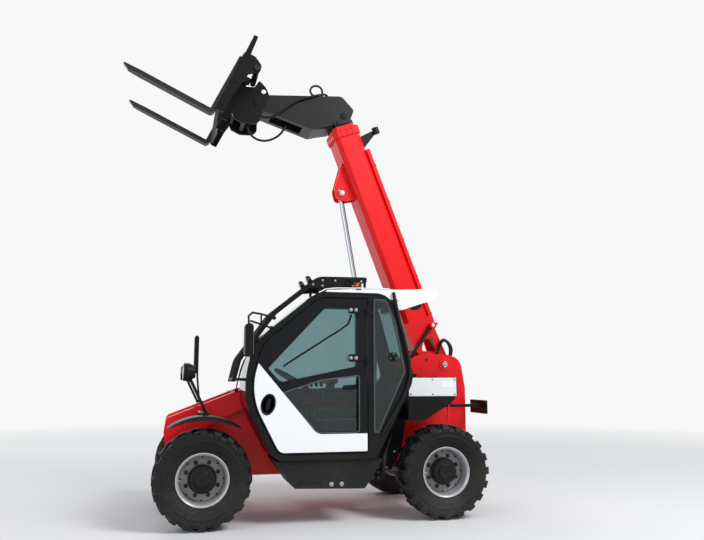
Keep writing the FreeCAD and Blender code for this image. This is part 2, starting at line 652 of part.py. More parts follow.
def build_cylinders():
    cylinder_pair("lift", (lift_base_x, lift_base_z), boom_point(lift_pin_s, lift_pin_n), 0, {
        "eye_half": 60, "eye_radius": 50, "barrel_length": 1450, "barrel_radius": 50, "bore_start": 90,
        "rod_radius": 26, "pin_radius": 24, "rod_inside": 150, "rod_eye_half": 42, "rod_eye_radius": 44,
        "rod_neck": 28})
    cylinder_pair("level", (level_base_x, level_base_z), boom_point(level_pin_s, level_pin_n), level_y, {
        "eye_half": 20, "eye_radius": 32, "barrel_length": 592, "barrel_radius": 29, "bore_start": 45,
        "rod_radius": 17.5, "pin_radius": 17, "rod_inside": 55, "rod_eye_half": 20, "rod_eye_radius": 30,
        "rod_neck": 14})
    cylinder_pair("tilt", boom_point(tilt_base_s, tilt_base_n), carriage_point(tilt_pin_a, tilt_pin_b),
                  0, {
        "eye_half": 45, "eye_radius": 38, "barrel_length": 655, "barrel_radius": 40, "bore_start": 60,
        "rod_radius": 22, "pin_radius": 20, "rod_inside": 100, "rod_eye_half": 42, "rod_eye_radius": 36,
        "rod_neck": 50})


# Cab

def outline_solid(distance, y0, y1):
    return plate(inset(cab_outline, distance) if distance else cab_outline, y0, y1)


def door_outline():
    return outline_solid(side_frame_width + door_gap, cab_outer_y - door_thick, cab_outer_y).cut(
        box(-2000, door_rear_x, 0, 2000, 0, 3000))


def upper_window(grow, y0, y1):
    g = grow
    return plate([(60 + g * 0.4, cab_top_z - 148 + g, 40), (-240 - g, cab_top_z - 148 + g, 60),
                  (-240 - g, 1381 - g, 30),
                  (450, 1238 - g * 1.1, 40), (572 + g * 1.4, 1365, 40)], y0, y1)


def lower_window(grow, y0, y1):
    g = grow
    return plate([(432 + g * 1.3, 1150 + g * 0.4, 30), (90, 1268 + g, 900), (-268 - g, 1304 + g, 20),
                  (-268 - g, 800 - g, 30), (115 - g * 0.4, 800 - g, 80)], y0, y1)


def quarter_window(grow, y0, y1):
    g = grow
    return plate([(-410 + g, cab_top_z - 60 + g, 20), (-520 - g * 0.6, cab_top_z - 65 + g, 60),
                  (-607 - g, 1800, 60),
                  (-700 - g, 1340, 80), (-445 - g * 0.6, 800 - g, 20), (-410 + g, 800 - g, 12)], y0, y1)


def make_cab_roof():
    """Flat roof skin with a hood that overhangs the back of the cab."""
    top = cab_top_z
    skin = plate([(60, top - 30, 0), (46, top + 18, 40), (-350, roof_z, 900), (-655, roof_z, 0),
                  (-655, top - 60, 0)], cab_inner_y + 4, cab_outer_y - 4)
    hood = plate([(-640, roof_z, 0), (-640, roof_z - 182, 20), (-690, roof_z - 188, 30),
                  (-1036, roof_z - 74, 40), (-1046, roof_z + 22, 30)],
                 cab_inner_y + 20, cab_outer_y - 20)
    return join([skin, hood]).cut(outline_solid(0, cab_inner_y, cab_outer_y))


def hinge_half(z, side):
    """Half of a door hinge: with its pin on the cab (side -1) or bored on the door (side 1)."""
    half_height, barrel_radius = 35, 13
    face, x, y = cab_outer_y, hinge_x, hinge_y
    z0 = z - half_height if side < 0 else z + pivot_gap
    barrel = Part.makeCylinder(barrel_radius, half_height - pivot_gap, V(x, y, z0))
    reach = sorted((x + side * 9, x + side * 50))
    leaf = box(reach[0], reach[1], face, face + 8, z0, z0 + half_height - pivot_gap)
    if side < 0:
        return barrel.fuse([leaf, Part.makeCylinder(hinge_pin_radius, 2 * half_height, V(x, y, z0))])
    bore = Part.makeCylinder(hinge_pin_radius + pivot_gap / 2, 100, V(x, y, z0 - 1))
    return barrel.fuse(leaf).cut(bore)


def build_cab():
    inner, outer = cab_inner_y, cab_outer_y
    shell = outline_solid(0, inner, outer).cut(outline_solid(cab_wall, inner + cab_wall, outer + 1))
    left_ring = outline_solid(0, outer - 60, outer).cut(
        outline_solid(side_frame_width, outer - 61, outer + 1))
    rear_side = outline_solid(10, outer - door_thick, outer).cut(
        box(door_rear_x - door_gap, 2000, 0, 2000, 0, 3000)).cut(quarter_window(0, 0, 2000))
    windscreen = box(-60, 2000, inner + cab_wall, outer - cab_wall, 1010, cab_top_z - 40)
    rear_window = box(-2000, -500, inner + cab_wall, outer - cab_wall, 1300, cab_top_z - 100)
    side_window = plate([(40, cab_top_z - 100, 120), (-480, cab_top_z - 100, 120), (-640, 1300, 80),
                         (-560, 1180, 80),
                         (600, 1180, 120), (610, 1420, 120)], inner - 1, inner + cab_wall + 1)
    frame = shell.fuse([left_ring, rear_side]).cut(windscreen).cut(rear_window).cut(side_window)
    mounts = [box(x - 45, x + 45, plate_inner_y + plate_thick, inner, z - 50, z + 50)
              for x, z in ((-380, 680), (360, 680), (-380, 960), (480, 960))]
    save("cab_frame", frame.fuse(mounts + [hinge_half(z, -1) for z in hinge_heights]).removeSplitter())

    # Fixed panes, set in their openings against the frame
    slab = outline_solid(-glass_thick, inner + cab_wall - glass_lap, outer - cab_wall + glass_lap).cut(
        outline_solid(0, 0, 2000))
    front_pane = slab.common(box(-20, 2000, 0, 2000, 1010 - glass_lap, cab_top_z - 40))
    rear_pane = slab.common(box(-2000, -500, 0, 2000, 1300 - glass_lap, cab_top_z - 100 + glass_lap))
    side_pane = plate([(40, cab_top_z - 86, 120), (-490, cab_top_z - 86, 120), (-655, 1300, 80),
                       (-570, 1166, 80),
                       (612, 1166, 120), (622, 1425, 120)], inner - glass_thick, inner)
    quarter_pane = quarter_window(glass_lap, outer, outer + glass_thick)
    save("cab_glass", Part.makeCompound([front_pane, rear_pane, side_pane, quarter_pane]))

    save("cab_roof", make_cab_roof())

    door = door_outline()
    frame = door.cut(upper_window(0, 0, 2000)).cut(lower_window(0, 0, 2000))
    save("door_frame", join([frame] + [hinge_half(z, 1) for z in hinge_heights]))
    low = door_outline()
    low.translate(V(0, door_thick, 0))
    skin = low.common(box(-341, 2000, outer, outer + 8, 0, 3000))
    corner = plate([(-2000, 790, 0), (118, 790, 100), (655, 1420, 0), (655, 3000, 0), (-2000, 3000, 0)],
                   outer - 1, outer + 100)
    edge_trim = outline_solid(side_frame_width + door_gap + 12, outer, outer + 8)
    save("door_panel", skin.common(edge_trim).cut(corner))
    panes = [window(glass_lap, outer - door_thick - glass_thick, outer - door_thick)
             for window in (upper_window, lower_window)]
    save("door_glass", Part.makeCompound(panes))


def build_cab_inside():
    floor = cab_outline[3][1] + cab_wall
    base = box(-330, 60, 430, 780, floor, 760)
    bellows = box(-290, 20, 460, 750, 760, 905)
    save("seat_base", join([base, bellows]))
    cushion = plate([(-330, 905, 20), (120, 905, 40), (150, 985, 45), (110, 1020, 40), (-300, 1000, 20)],
                    390, 810)
    back = plate([(-300, 1002, 10), (-400, 1560, 30), (-480, 1560, 30), (-450, 1000, 30), (-380, 905, 20),
                  (-332, 905, 0)], 400, 800)
    save("seat", join([cushion, back.cut(cushion)]))

    column = plate([(310, floor, 20), (412, floor, 20), (520, 1120, 60), (400, 1200, 60)], 480, 700)
    grip = Part.makePolygon([V(175 + x, 0, z) for x, z in (
        (14, 0), (7, 12), (-7, 12), (-14, 0), (-7, -12), (7, -12), (14, 0))])
    steering = Part.Face(grip).revolve(V(0, 0, 0), V(0, 0, 1), 360).fuse([
        Part.makeCylinder(40, 30, V(0, 0, -20)), box(-170, 170, -14, 14, -14, 4)])
    steering.rotate(V(0, 0, 0), V(0, 1, 0), -30)
    steering.translate(V(300, 590, 1270))
    stem = rod((430, 590, 1090), (310, 590, 1262), 26)
    console = plate([(-380, floor, 10), (120, floor, 10), (160, 1060, 40), (-330, 1060, 30)],
                    cab_inner_y + cab_wall, 385)
    save("dashboard", Part.makeCompound([join([column, stem, steering]), console]))


def build_guard():
    """Bars over the windscreen and the roof, tied by cross rods."""
    top = roof_z
    # Outer line of a bar: x, z, corner radius
    outer = [(-365, top + 118, 12), (105, top + 112, 160), (520, 1878, 300), (825, 1452, 160),
             (872, 1250, 0),
             (836, 1250, 0), (790, 1438, 140), (492, 1846, 260), (92, top + 68, 120), (-365, top + 72, 8)]
    bars = [plate(outer, y - 5, y + 5) for y in (345, 435, 525, 615, 705, 795)]
    ties = [cross_rod(x, z, 345, 795, 16) for x, z in ((-345, top + 94), (88, top + 86), (506, 1858),
                                                       (852, 1270))]
    feet = []
    for y in (345, 795):
        feet.append(rod((-345, y, top - 60), (-345, y, top + 94), 13))
        feet.append(rod((88, y, top - 100), (88, y, top + 86), 13))
        feet.append(box(700, 858, y - 8, y + 8, 1258, 1282))
    cab = outline_solid(-0.1, cab_inner_y, cab_outer_y).fuse(make_cab_roof())
    cab = cab.fuse(outline_solid(-glass_thick - pivot_gap, cab_inner_y + cab_wall - glass_lap - 1,
                                 cab_outer_y - cab_wall + glass_lap + 1))
    save("cab_guard", join(bars + ties + feet).cut(cab))
    beacon = Part.makeCylinder(30, 40, V(-262, 850, top - 40)).fuse(
        Part.makeCylinder(36, 55, V(-262, 850, top)))
    save("beacon", beacon.cut(make_cab_roof()).cut(outline_solid(0, cab_inner_y, cab_outer_y)))


# Fenders, lamps and mirrors

def build_outside():
    fender_radius, fender_thick, fender_lip = 540, 6, 30
    ring = Part.makeCylinder(fender_radius, 250, V(front_x, 635, tyre_radius), V(0, 1, 0)).cut(
        Part.makeCylinder(fender_radius - fender_thick, 250, V(front_x, 635, tyre_radius), V(0, 1, 0)))
    lip = Part.makeCylinder(fender_radius - 3, 12, V(front_x, 873, tyre_radius), V(0, 1, 0)).cut(
        Part.makeCylinder(fender_radius - fender_lip, 12, V(front_x, 873, tyre_radius), V(0, 1, 0)))
    ring = ring.fuse(lip)
    wedge = plate([(front_x, tyre_radius, 0), (front_x + 600, tyre_radius + 850, 0),
                   (front_x - 640, tyre_radius + 850, 0)], 600, 900)
    fender = ring.common(wedge)
    bracket = box(front_x - 45, front_x + 45, nose_half_width, 760, tyre_radius + fender_radius - 1,
                  tyre_radius + fender_radius + 16)
    save("front_fenders", Part.makeCompound(both_sides(join([fender, bracket]).cut(beside_cab()))))

    foot_z = tyre_radius + fender_radius + 16
    lamps = []
    for side in (0, 1):
        stalk = rod((front_x - 15, 740, foot_z + 6), (front_x + 125, 800, 1270), 13).fuse(
            Part.makeCylinder(21, 12, V(front_x - 15, 740, foot_z)))
        pod = Part.makeCone(50, 78, 60, V(front_x + 85, 800, 1334), V(1, 0, 0)).fuse(
            Part.makeCylinder(78, 40, V(front_x + 145, 800, 1334), V(1, 0, 0)))
        lamps.append(both_sides(join([stalk, pod]))[side])
    save("headlamps", Part.makeCompound(lamps))

    # Left mirror on a bent arm from the cab's front pillar, right mirror on a stalk from the fender
    side = cab_outer_y
    left_lines = [
        [(517, side + 4, 1812), (640, 960, 1838), (722, 1000, 1846), (755, 1000, 1815), (750, 1000, 1735)],
        [(540, side + 4, 1722), (640, 960, 1748), (733, 1000, 1772)],
    ]
    left = []
    for line in left_lines:
        left += [rod(line[i], line[i + 1], 9) for i in range(len(line) - 1)]
        left += [Part.makeSphere(9, V(*point)) for point in line[1:]]
        left.append(cross_rod(line[0][0], line[0][2], side, side + 8, 18))
    left += [rod((640, 960, 1748), (640, 960, 1838), 8)]
    left.append(plate([(785, 1465, 25), (785, 1750, 30), (715, 1750, 30), (715, 1465, 25)], 925, 1060))
    right = [Part.makeCylinder(21, 12, V(front_x - 15, -690, foot_z)),
             rod((front_x - 15, -690, foot_z + 8), (front_x + 10, -930, 1300), 11),
             Part.makeSphere(11, V(front_x + 10, -930, 1300)),
             rod((front_x + 10, -930, 1300), (front_x + 10, -930, 1500), 11),
             plate([(front_x + 50, 1330, 20), (front_x + 50, 1745, 22), (front_x + 5, 1745, 18),
                    (front_x + 5, 1330, 18)], -1060, -880)]
    save("mirrors", Part.makeCompound([join(left), join(right)]))

    board = join([box(-1608, -1590, 310, 690, 936, 1066), box(-1592, -1150, 560, 585, 1000, 1030)])
    left_board = board.cut(make_hydraulic_tank())
    right_board = join([both_sides(board)[1].cut(box(-1290, -1000, -600, -500, 900, 1100)),
                        box(-1320, -1290, -585, -plate_inner_y - plate_thick, 1000, 1030)])
    save("rear_lamp_boards", Part.makeCompound([left_board, right_board]))

    lamp_s, lamp_y, lamp_n = boom_length - 150, 125, 262
    lamp = join([plate([(lamp_s - 110, boom_top_n, 0), (lamp_s + 20, boom_top_n, 0),
                        (lamp_s + 45, lamp_n - 15, 10), (lamp_s + 10, lamp_n - 5, 10)], 112, 120),
                 rod((lamp_s, lamp_y, lamp_n), (lamp_s + 65, lamp_y, lamp_n), 36),
                 rod((lamp_s - 5, lamp_y, lamp_n), (lamp_s + 1, lamp_y, lamp_n), 28)])
    save("work_lamp", on_boom(lamp))


os.makedirs("parts", exist_ok=True)
build_running_gear()
build_frame()
build_engine_cover()
build_outer_boom()
build_inner_boom()
build_carriage()
build_cylinders()
build_cab()
build_cab_inside()
build_guard()
build_outside()
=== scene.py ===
import bpy
import bmesh
import math
from mathutils import Matrix, Vector


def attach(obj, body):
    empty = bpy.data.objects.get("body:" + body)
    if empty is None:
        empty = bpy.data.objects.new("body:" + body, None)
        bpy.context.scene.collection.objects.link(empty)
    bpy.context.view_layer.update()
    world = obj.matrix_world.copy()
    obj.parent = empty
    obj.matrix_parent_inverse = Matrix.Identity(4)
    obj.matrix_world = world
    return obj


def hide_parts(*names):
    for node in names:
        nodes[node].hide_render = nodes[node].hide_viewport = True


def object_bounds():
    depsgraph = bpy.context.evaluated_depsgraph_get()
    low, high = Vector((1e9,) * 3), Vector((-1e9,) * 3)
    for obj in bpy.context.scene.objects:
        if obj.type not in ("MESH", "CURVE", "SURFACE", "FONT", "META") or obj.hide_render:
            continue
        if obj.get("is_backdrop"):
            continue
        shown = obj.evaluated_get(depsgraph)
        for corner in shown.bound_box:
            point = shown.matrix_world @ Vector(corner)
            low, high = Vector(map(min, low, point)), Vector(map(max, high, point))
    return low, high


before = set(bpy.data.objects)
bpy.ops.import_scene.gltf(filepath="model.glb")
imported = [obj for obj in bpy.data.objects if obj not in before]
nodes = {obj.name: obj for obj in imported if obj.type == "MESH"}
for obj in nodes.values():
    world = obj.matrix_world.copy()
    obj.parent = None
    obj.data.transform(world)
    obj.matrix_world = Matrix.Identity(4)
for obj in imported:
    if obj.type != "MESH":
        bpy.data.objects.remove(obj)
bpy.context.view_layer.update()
print("frame loaded:", len(nodes), "nodes")

# Places are written in the machine's own millimetres, with x = 0 midway between the axles
layout = {"boxCentreX": 165, "axleX": 1100, "wheelY": 750, "wheelZ": 425,
          "boomX": -1330, "boomZ": 1418, "boomAngle": 69, "forkAngle": 25.5,
          "carriageS": 3198, "carriageN": -880}


def at(x, y, z):
    return Vector(((x - layout["boxCentreX"]) / 1000, y / 1000, z / 1000))


def turned(x, z, angle):
    a = math.radians(angle)
    return x * math.cos(a) - z * math.sin(a), x * math.sin(a) + z * math.cos(a)


def onBoom(s, y, n):  # s along the boom from its pivot, n square to it
    x, z = turned(s, n, layout["boomAngle"])
    return at(layout["boomX"] + x, y, layout["boomZ"] + z)


def onCarriage(a, y, b):  # a along the forks from the carriage's pivot, b square to it
    px, pz = turned(layout["carriageS"], layout["carriageN"], layout["boomAngle"])
    x, z = turned(a, b, layout["forkAngle"])
    return at(layout["boomX"] + px + x, y, layout["boomZ"] + pz + z)


# Camera, fitted to the photograph
camera = {"place": (1.223, 7.255, 1.287), "forward": (-0.23928, -0.95958, 0.14817),
          "right": (-0.97029, 0.24195, 0.0), "up": (0.03585, 0.14377, 0.98896), "lens": 36.66}


def makeCamera():
    data = bpy.data.cameras.new("camera")
    data.lens = camera["lens"]
    data.clip_end = 200
    obj = bpy.data.objects.new("camera", data)
    bpy.context.scene.collection.objects.link(obj)
    r, u, f = Vector(camera["right"]), Vector(camera["up"]), -Vector(camera["forward"])
    obj.matrix_world = Matrix(((r.x, u.x, f.x, camera["place"][0]), (r.y, u.y, f.y, camera["place"][1]),
                               (r.z, u.z, f.z, camera["place"][2]), (0, 0, 0, 1)))
    bpy.context.scene.camera = obj


makeCamera()


# Shader node groups that several materials share
def newGroup(name, inputs, outputs):
    group = bpy.data.node_groups.new(name, "ShaderNodeTree")
    for label, kind, value in inputs:
        socket = group.interface.new_socket(name=label, in_out="INPUT", socket_type="NodeSocket" + kind)
        if value is not None:
            socket.default_value = value
    for label, kind in outputs:
        group.interface.new_socket(name=label, in_out="OUTPUT", socket_type="NodeSocket" + kind)
    return group, group.nodes.new("NodeGroupInput"), group.nodes.new("NodeGroupOutput")


def addNode(tree, kind, settings=None, **links):
    node = tree.nodes.new("ShaderNode" + kind)
    for key, value in (settings or {}).items():
        setattr(node, key, value)
    for key, value in links.items():
        socket = node.inputs[int(key[1:])] if key[0] == "i" and key[1:].isdigit() else node.inputs[key]
        if isinstance(value, bpy.types.NodeSocket):
            tree.links.new(value, socket)
        else:
            socket.default_value = value
    return node


def mathNode(tree, operation, first, second, clamp=False):
    return addNode(tree, "Math", {"operation": operation, "use_clamp": clamp}, i0=first, i1=second).outputs[0]


def mixColour(tree, factor, first, second):
    node = addNode(tree, "Mix", {"data_type": "RGBA"}, i0=factor, i6=first, i7=second)
    return node.outputs[2]


def spread(tree, value, low, high, newLow, newHigh):
    node = addNode(tree, "MapRange", {"clamp": True}, i0=value, i1=low, i2=high, i3=newLow, i4=newHigh)
    return node.outputs[0]


def rgba(colour):
    return (*colour, 1.0)


# Cloudy tone, dust low down and in patches, and a fine grain
finish, gi, go = newGroup(
    "paintedFinish",
    [("Colour", "Color", (0.5, 0.5, 0.5, 1)), ("Dust Colour", "Color", (0.3, 0.26, 0.22, 1)),
     ("Tone", "Float", 0.1), ("Dust", "Float", 0.2), ("Dust Height", "Float", 1.2), ("Cloud Scale", "Float", 2.0),
     ("Grain Scale", "Float", 300.0), ("Roughness", "Float", 0.3), ("Roughness Spread", "Float", 0.1)],
    [("Colour", "Color"), ("Roughness", "Float"), ("Height", "Float")])
place = addNode(finish, "TexCoord").outputs["Object"]
cloud = addNode(finish, "TexNoise", Vector=place, Scale=gi.outputs["Cloud Scale"], Detail=6.0, Roughness=0.6)
grain = addNode(finish, "TexNoise", Vector=place, Scale=gi.outputs["Grain Scale"], Detail=2.0)
fleck = addNode(finish, "TexNoise", Vector=place, Scale=38.0, Detail=8.0, Roughness=0.75)
tone = mathNode(finish, "MULTIPLY", mathNode(finish, "SUBTRACT", cloud.outputs[0], 0.5), gi.outputs["Tone"])
shade = addNode(finish, "HueSaturation", Hue=0.5, Saturation=1.0, Fac=1.0,
                Value=mathNode(finish, "ADD", tone, 1.0), Color=gi.outputs["Colour"]).outputs[0]
height = addNode(finish, "SeparateXYZ", Vector=place).outputs["Z"]
low = mathNode(finish, "SUBTRACT", 1.0, mathNode(finish, "DIVIDE", height, gi.outputs["Dust Height"]), True)
patch = spread(finish, mathNode(finish, "ADD", fleck.outputs[0], cloud.outputs[0]), 0.85, 1.3, 0.15, 1.0)
dusty = mathNode(finish, "MULTIPLY", mathNode(finish, "MULTIPLY", low, patch), gi.outputs["Dust"], True)
finish.links.new(mixColour(finish, dusty, shade, gi.outputs["Dust Colour"]), go.inputs["Colour"])
rough = mathNode(finish, "MULTIPLY", mathNode(finish, "SUBTRACT", fleck.outputs[0], 0.5),
                 gi.outputs["Roughness Spread"])
rough = mathNode(finish, "ADD", mathNode(finish, "ADD", rough, gi.outputs["Roughness"]),
                 mathNode(finish, "MULTIPLY", dusty, 0.4), True)
finish.links.new(rough, go.inputs["Roughness"])
finish.links.new(grain.outputs[0], go.inputs["Height"])

# Paint rubbed off along edges: a mask, and a normal that rounds the edge
wear, gi, go = newGroup(
    "edgeWear", [("Radius", "Float", 0.003), ("Amount", "Float", 0.5)], [("Mask", "Float"), ("Normal", "Vector")])
place = addNode(wear, "TexCoord").outputs["Object"]
rounded = addNode(wear, "Bevel", {"samples": 6}, Radius=gi.outputs["Radius"]).outputs[0]
straight = addNode(wear, "NewGeometry").outputs["Normal"]
facing = addNode(wear, "VectorMath", {"operation": "DOT_PRODUCT"}, i0=rounded, i1=straight).outputs["Value"]
edge = spread(wear, facing, 0.97, 0.75, 0.0, 1.0)
chips = addNode(wear, "TexNoise", Vector=place, Scale=22.0, Detail=8.0, Roughness=0.7).outputs[0]
chipped = mathNode(wear, "MULTIPLY", mathNode(wear, "MULTIPLY", edge, spread(wear, chips, 0.5, 0.62, 0.0, 1.0)),
                   gi.outputs["Amount"], True)
wear.links.new(chipped, go.inputs["Mask"])
wear.links.new(rounded, go.inputs["Normal"])

# Pebbled skin of moulded plastic and rubber
pebble, gi, go = newGroup("pebbledSkin", [("Scale", "Float", 400.0)], [("Height", "Float")])
place = addNode(pebble, "TexCoord").outputs["Object"]
cells = addNode(pebble, "TexVoronoi", {"feature": "SMOOTH_F1"}, Vector=place, Scale=gi.outputs["Scale"]).outputs[0]
pebble.links.new(cells, go.inputs["Height"])

# Which side of a slanted plane a point lies on, from 0 to 1
split, gi, go = newGroup("splitPlane", [("Direction", "Vector", None), ("Distance", "Float", 0.0)],
                         [("Side", "Float")])
place = addNode(split, "TexCoord").outputs["Object"]
along = addNode(split, "VectorMath", {"operation": "DOT_PRODUCT"}, i0=place,
                i1=gi.outputs["Direction"]).outputs["Value"]
split.links.new(mathNode(split, "GREATER_THAN", along, gi.outputs["Distance"]), go.inputs["Side"])


def groupNode(tree, group, **values):
    node = tree.nodes.new("ShaderNodeGroup")
    node.node_tree = group
    for key, value in values.items():
        socket = node.inputs[key.replace("_", " ")]
        if isinstance(value, bpy.types.NodeSocket):
            tree.links.new(value, socket)
        else:
            socket.default_value = value
    return node


def startMaterial(name):
    material = bpy.data.materials.new(name)
    material.use_nodes = True
    tree = material.node_tree
    return material, tree, tree.nodes["Principled BSDF"]


# One row per finish: colour, metal, roughness, its spread, tone, dust, dust height, edge wear, coat, shine, bump
finishes = {
    "redPaint": ((0.80, 0.006, 0.009), 0.0, 0.36, 0.08, 0.08, 0.20, 0.9, 0.04, 0.10, 0.22, 0.15),
    "whitePaint": ((0.86, 0.87, 0.88), 0.0, 0.30, 0.06, 0.03, 0.08, 1.0, 0.02, 0.2, 0.4, 0.12),
    "blackPaint": ((0.0075, 0.0078, 0.0085), 0.0, 0.34, 0.12, 0.25, 0.12, 1.0, 0.04, 0.0, 0.13, 0.2),
    "blackPlastic": ((0.007, 0.007, 0.008), 0.0, 0.36, 0.12, 0.2, 0.12, 1.0, 0.0, 0.0, 0.14, 0.5),
    "darkFrame": ((0.010, 0.010, 0.011), 0.0, 0.48, 0.15, 0.3, 0.16, 0.8, 0.06, 0.0, 0.15, 0.3),
    "silverPaint": ((0.42, 0.43, 0.45), 0.35, 0.30, 0.12, 0.2, 0.18, 0.8, 0.04, 0.2, 0.4, 0.2),
    "aluminium": ((0.78, 0.80, 0.82), 0.45, 0.34, 0.15, 0.08, 0.08, 1.0, 0.0, 0.0, 0.5, 0.1),
    "chrome": ((0.42, 0.45, 0.50), 1.0, 0.10, 0.06, 0.05, 0.02, 0.8, 0.0, 0.0, 0.5, 0.02),
    "zinc": ((0.40, 0.39, 0.37), 1.0, 0.34, 0.15, 0.2, 0.10, 0.8, 0.0, 0.0, 0.5, 0.1),
    "castIron": ((0.020, 0.019, 0.018), 0.2, 0.62, 0.15, 0.4, 0.4, 0.9, 0.0, 0.0, 0.2, 0.8),
    "wornSteel": ((0.022, 0.022, 0.024), 0.35, 0.42, 0.2, 0.4, 0.05, 0.8, 0.45, 0.0, 0.3, 0.3),
    "rubber": ((0.0085, 0.0085, 0.009), 0.0, 0.50, 0.16, 0.35, 0.24, 0.75, 0.0, 0.0, 0.15, 0.6),
    "hoseRubber": ((0.006, 0.006, 0.007), 0.0, 0.42, 0.1, 0.2, 0.08, 0.8, 0.0, 0.0, 0.2, 0.3),
    "seatCloth": ((0.030, 0.030, 0.034), 0.0, 0.80, 0.1, 0.3, 0.0, 0.8, 0.0, 0.0, 0.15, 1.2),
    # Grey of the rim's disc, darker than the rim's silver: painted shade inside the recessed dish
    "discShadeGrey": ((0.200, 0.198, 0.192), 0.45, 0.36, 0.12, 0.3, 0.25, 0.8, 0.04, 0.0, 0.3, 0.3),
    "rodBlack": ((0.018, 0.018, 0.020), 0.6, 0.25, 0.08, 0.1, 0.04, 0.8, 0.0, 0.0, 0.4, 0.05),
    "trimGrey": ((0.085, 0.088, 0.092), 0.0, 0.55, 0.1, 0.15, 0.1, 1.0, 0.0, 0.0, 0.2, 0.5),
}
bareSteel = (0.36, 0.35, 0.33)
dustTone = (0.19, 0.17, 0.145)


def makeFinish(name, colour=None):
    base, metal, rough, roughSpread, tone, dust, dustHeight, worn, coat, shine, bump = finishes[name]
    material, tree, shader = startMaterial(name)
    paint = groupNode(tree, finish, Colour=colour or rgba(base), Dust_Colour=rgba(dustTone), Tone=tone, Dust=dust,
                      Dust_Height=dustHeight, Roughness=rough, Roughness_Spread=roughSpread)
    edges = groupNode(tree, wear, Radius=0.004, Amount=worn)
    colourOut = paint.outputs["Colour"]
    if worn:
        colourOut = mixColour(tree, edges.outputs["Mask"], colourOut, rgba(bareSteel))
    tree.links.new(colourOut, shader.inputs["Base Color"])
    tree.links.new(paint.outputs["Roughness"], shader.inputs["Roughness"])
    shader.inputs["Metallic"].default_value = metal
    shader.inputs["Coat Weight"].default_value = coat
    shader.inputs["Specular IOR Level"].default_value = shine
    shader.inputs["Coat Roughness"].default_value = 0.12
    height = paint.outputs["Height"]
    if name in ("blackPlastic", "rubber", "seatCloth", "castIron", "trimGrey"):
        height = groupNode(tree, pebble, Scale=900.0 if name == "seatCloth" else 420.0).outputs["Height"]
    bumpNode = addNode(tree, "Bump", Strength=0.35, Distance=0.0004 * bump, Height=height,
                       Normal=edges.outputs["Normal"])
    tree.links.new(bumpNode.outputs[0], shader.inputs["Normal"])
    return material


looks = {name: makeFinish(name) for name in finishes}


def makeTwoTone(name, first, second, direction, distance):
    # Two painted colours on one casting, parted by a plane
    material = makeFinish(first)
    material.name = name
    tree = material.node_tree
    side = groupNode(tree, split, Direction=direction, Distance=distance).outputs["Side"]
    paint = next(n for n in tree.nodes if n.type == "GROUP" and n.node_tree == finish)
    tree.links.new(mixColour(tree, side, rgba(finishes[first][0]), rgba(finishes[second][0])),
                   paint.inputs["Colour"])
    return material


boomDirection = Vector((math.cos(math.radians(69)), 0, math.sin(math.radians(69))))
looks["innerBoomPaint"] = makeTwoTone("innerBoomPaint", "redPaint", "blackPaint", boomDirection,
                                      onBoom(2722, 0, 0).dot(boomDirection))


def makeGlass(name, tint, roughness):
    material, tree, shader = startMaterial(name)
    paint = groupNode(tree, finish, Colour=rgba(tint), Tone=0.05, Dust=0.08, Dust_Height=2.4,
                      Roughness=roughness, Roughness_Spread=0.03)
    tree.links.new(paint.outputs["Colour"], shader.inputs["Base Color"])
    tree.links.new(paint.outputs["Roughness"], shader.inputs["Roughness"])
    shader.inputs["Transmission Weight"].default_value = 1.0
    shader.inputs["Specular IOR Level"].default_value = 0.3
    shader.inputs["IOR"].default_value = 1.45
    return material


looks["tintedGlass"] = makeGlass("tintedGlass", (0.36, 0.50, 0.51), 0.02)
looks["clearLens"] = makeGlass("clearLens", (0.93, 0.95, 0.96), 0.03)
looks["amberLens"] = makeGlass("amberLens", (0.95, 0.30, 0.02), 0.08)
looks["redLens"] = makeGlass("redLens", (0.75, 0.02, 0.02), 0.08)

# CAD nodes that keep their own shape, by finish
dressing = {
    "redPaint": ["outer_boom", "frame_plates", "cross_members", "nose_cover", "engine_cover"],
    "innerBoomPaint": ["inner_boom"],
    "whitePaint": ["door_panel", "cab_roof"],
    "blackPaint": ["cab_frame", "door_frame", "cab_guard", "coupler", "fork_carriage", "level_barrel",
                   "tilt_barrel", "lift_barrel", "rear_lamp_boards", "hydraulic_tank"],
    "blackPlastic": ["front_fenders", "mirrors", "dashboard", "seat_base", "headlamps", "work_lamp"],
    "darkFrame": ["belly_tank", "front_axle", "rear_axle", "knuckle_front_left", "knuckle_front_right",
                  "knuckle_rear_left", "knuckle_rear_right", "drive_shaft"],
    "castIron": ["engine"],
    "wornSteel": ["forks"],
    
    "chrome": ["lift_rod", "tilt_rod"],
    "rodBlack": ["level_rod"],
    "zinc": ["front_tie_rod", "rear_tie_rod"],
    "tintedGlass": ["cab_glass", "door_glass"],
    "amberLens": ["beacon"],
    "seatCloth": ["seat"],
    "rubber": ["tyre_front_left", "tyre_front_right", "tyre_rear_left", "tyre_rear_right"],
    "silverPaint": ["rim_front_left", "rim_front_right", "rim_rear_left", "rim_rear_right"],
}
dressing["blackPaint"] += ["hub_front_left", "hub_front_right", "hub_rear_left", "hub_rear_right"]
for look, names in dressing.items():
    for name in names:
        nodes[name].data.materials.clear()
        nodes[name].data.materials.append(looks[look])
left = sorted(set(nodes) - {n for names in dressing.values() for n in names})
print("materials made:", len(looks), "nodes without a finish:", left)


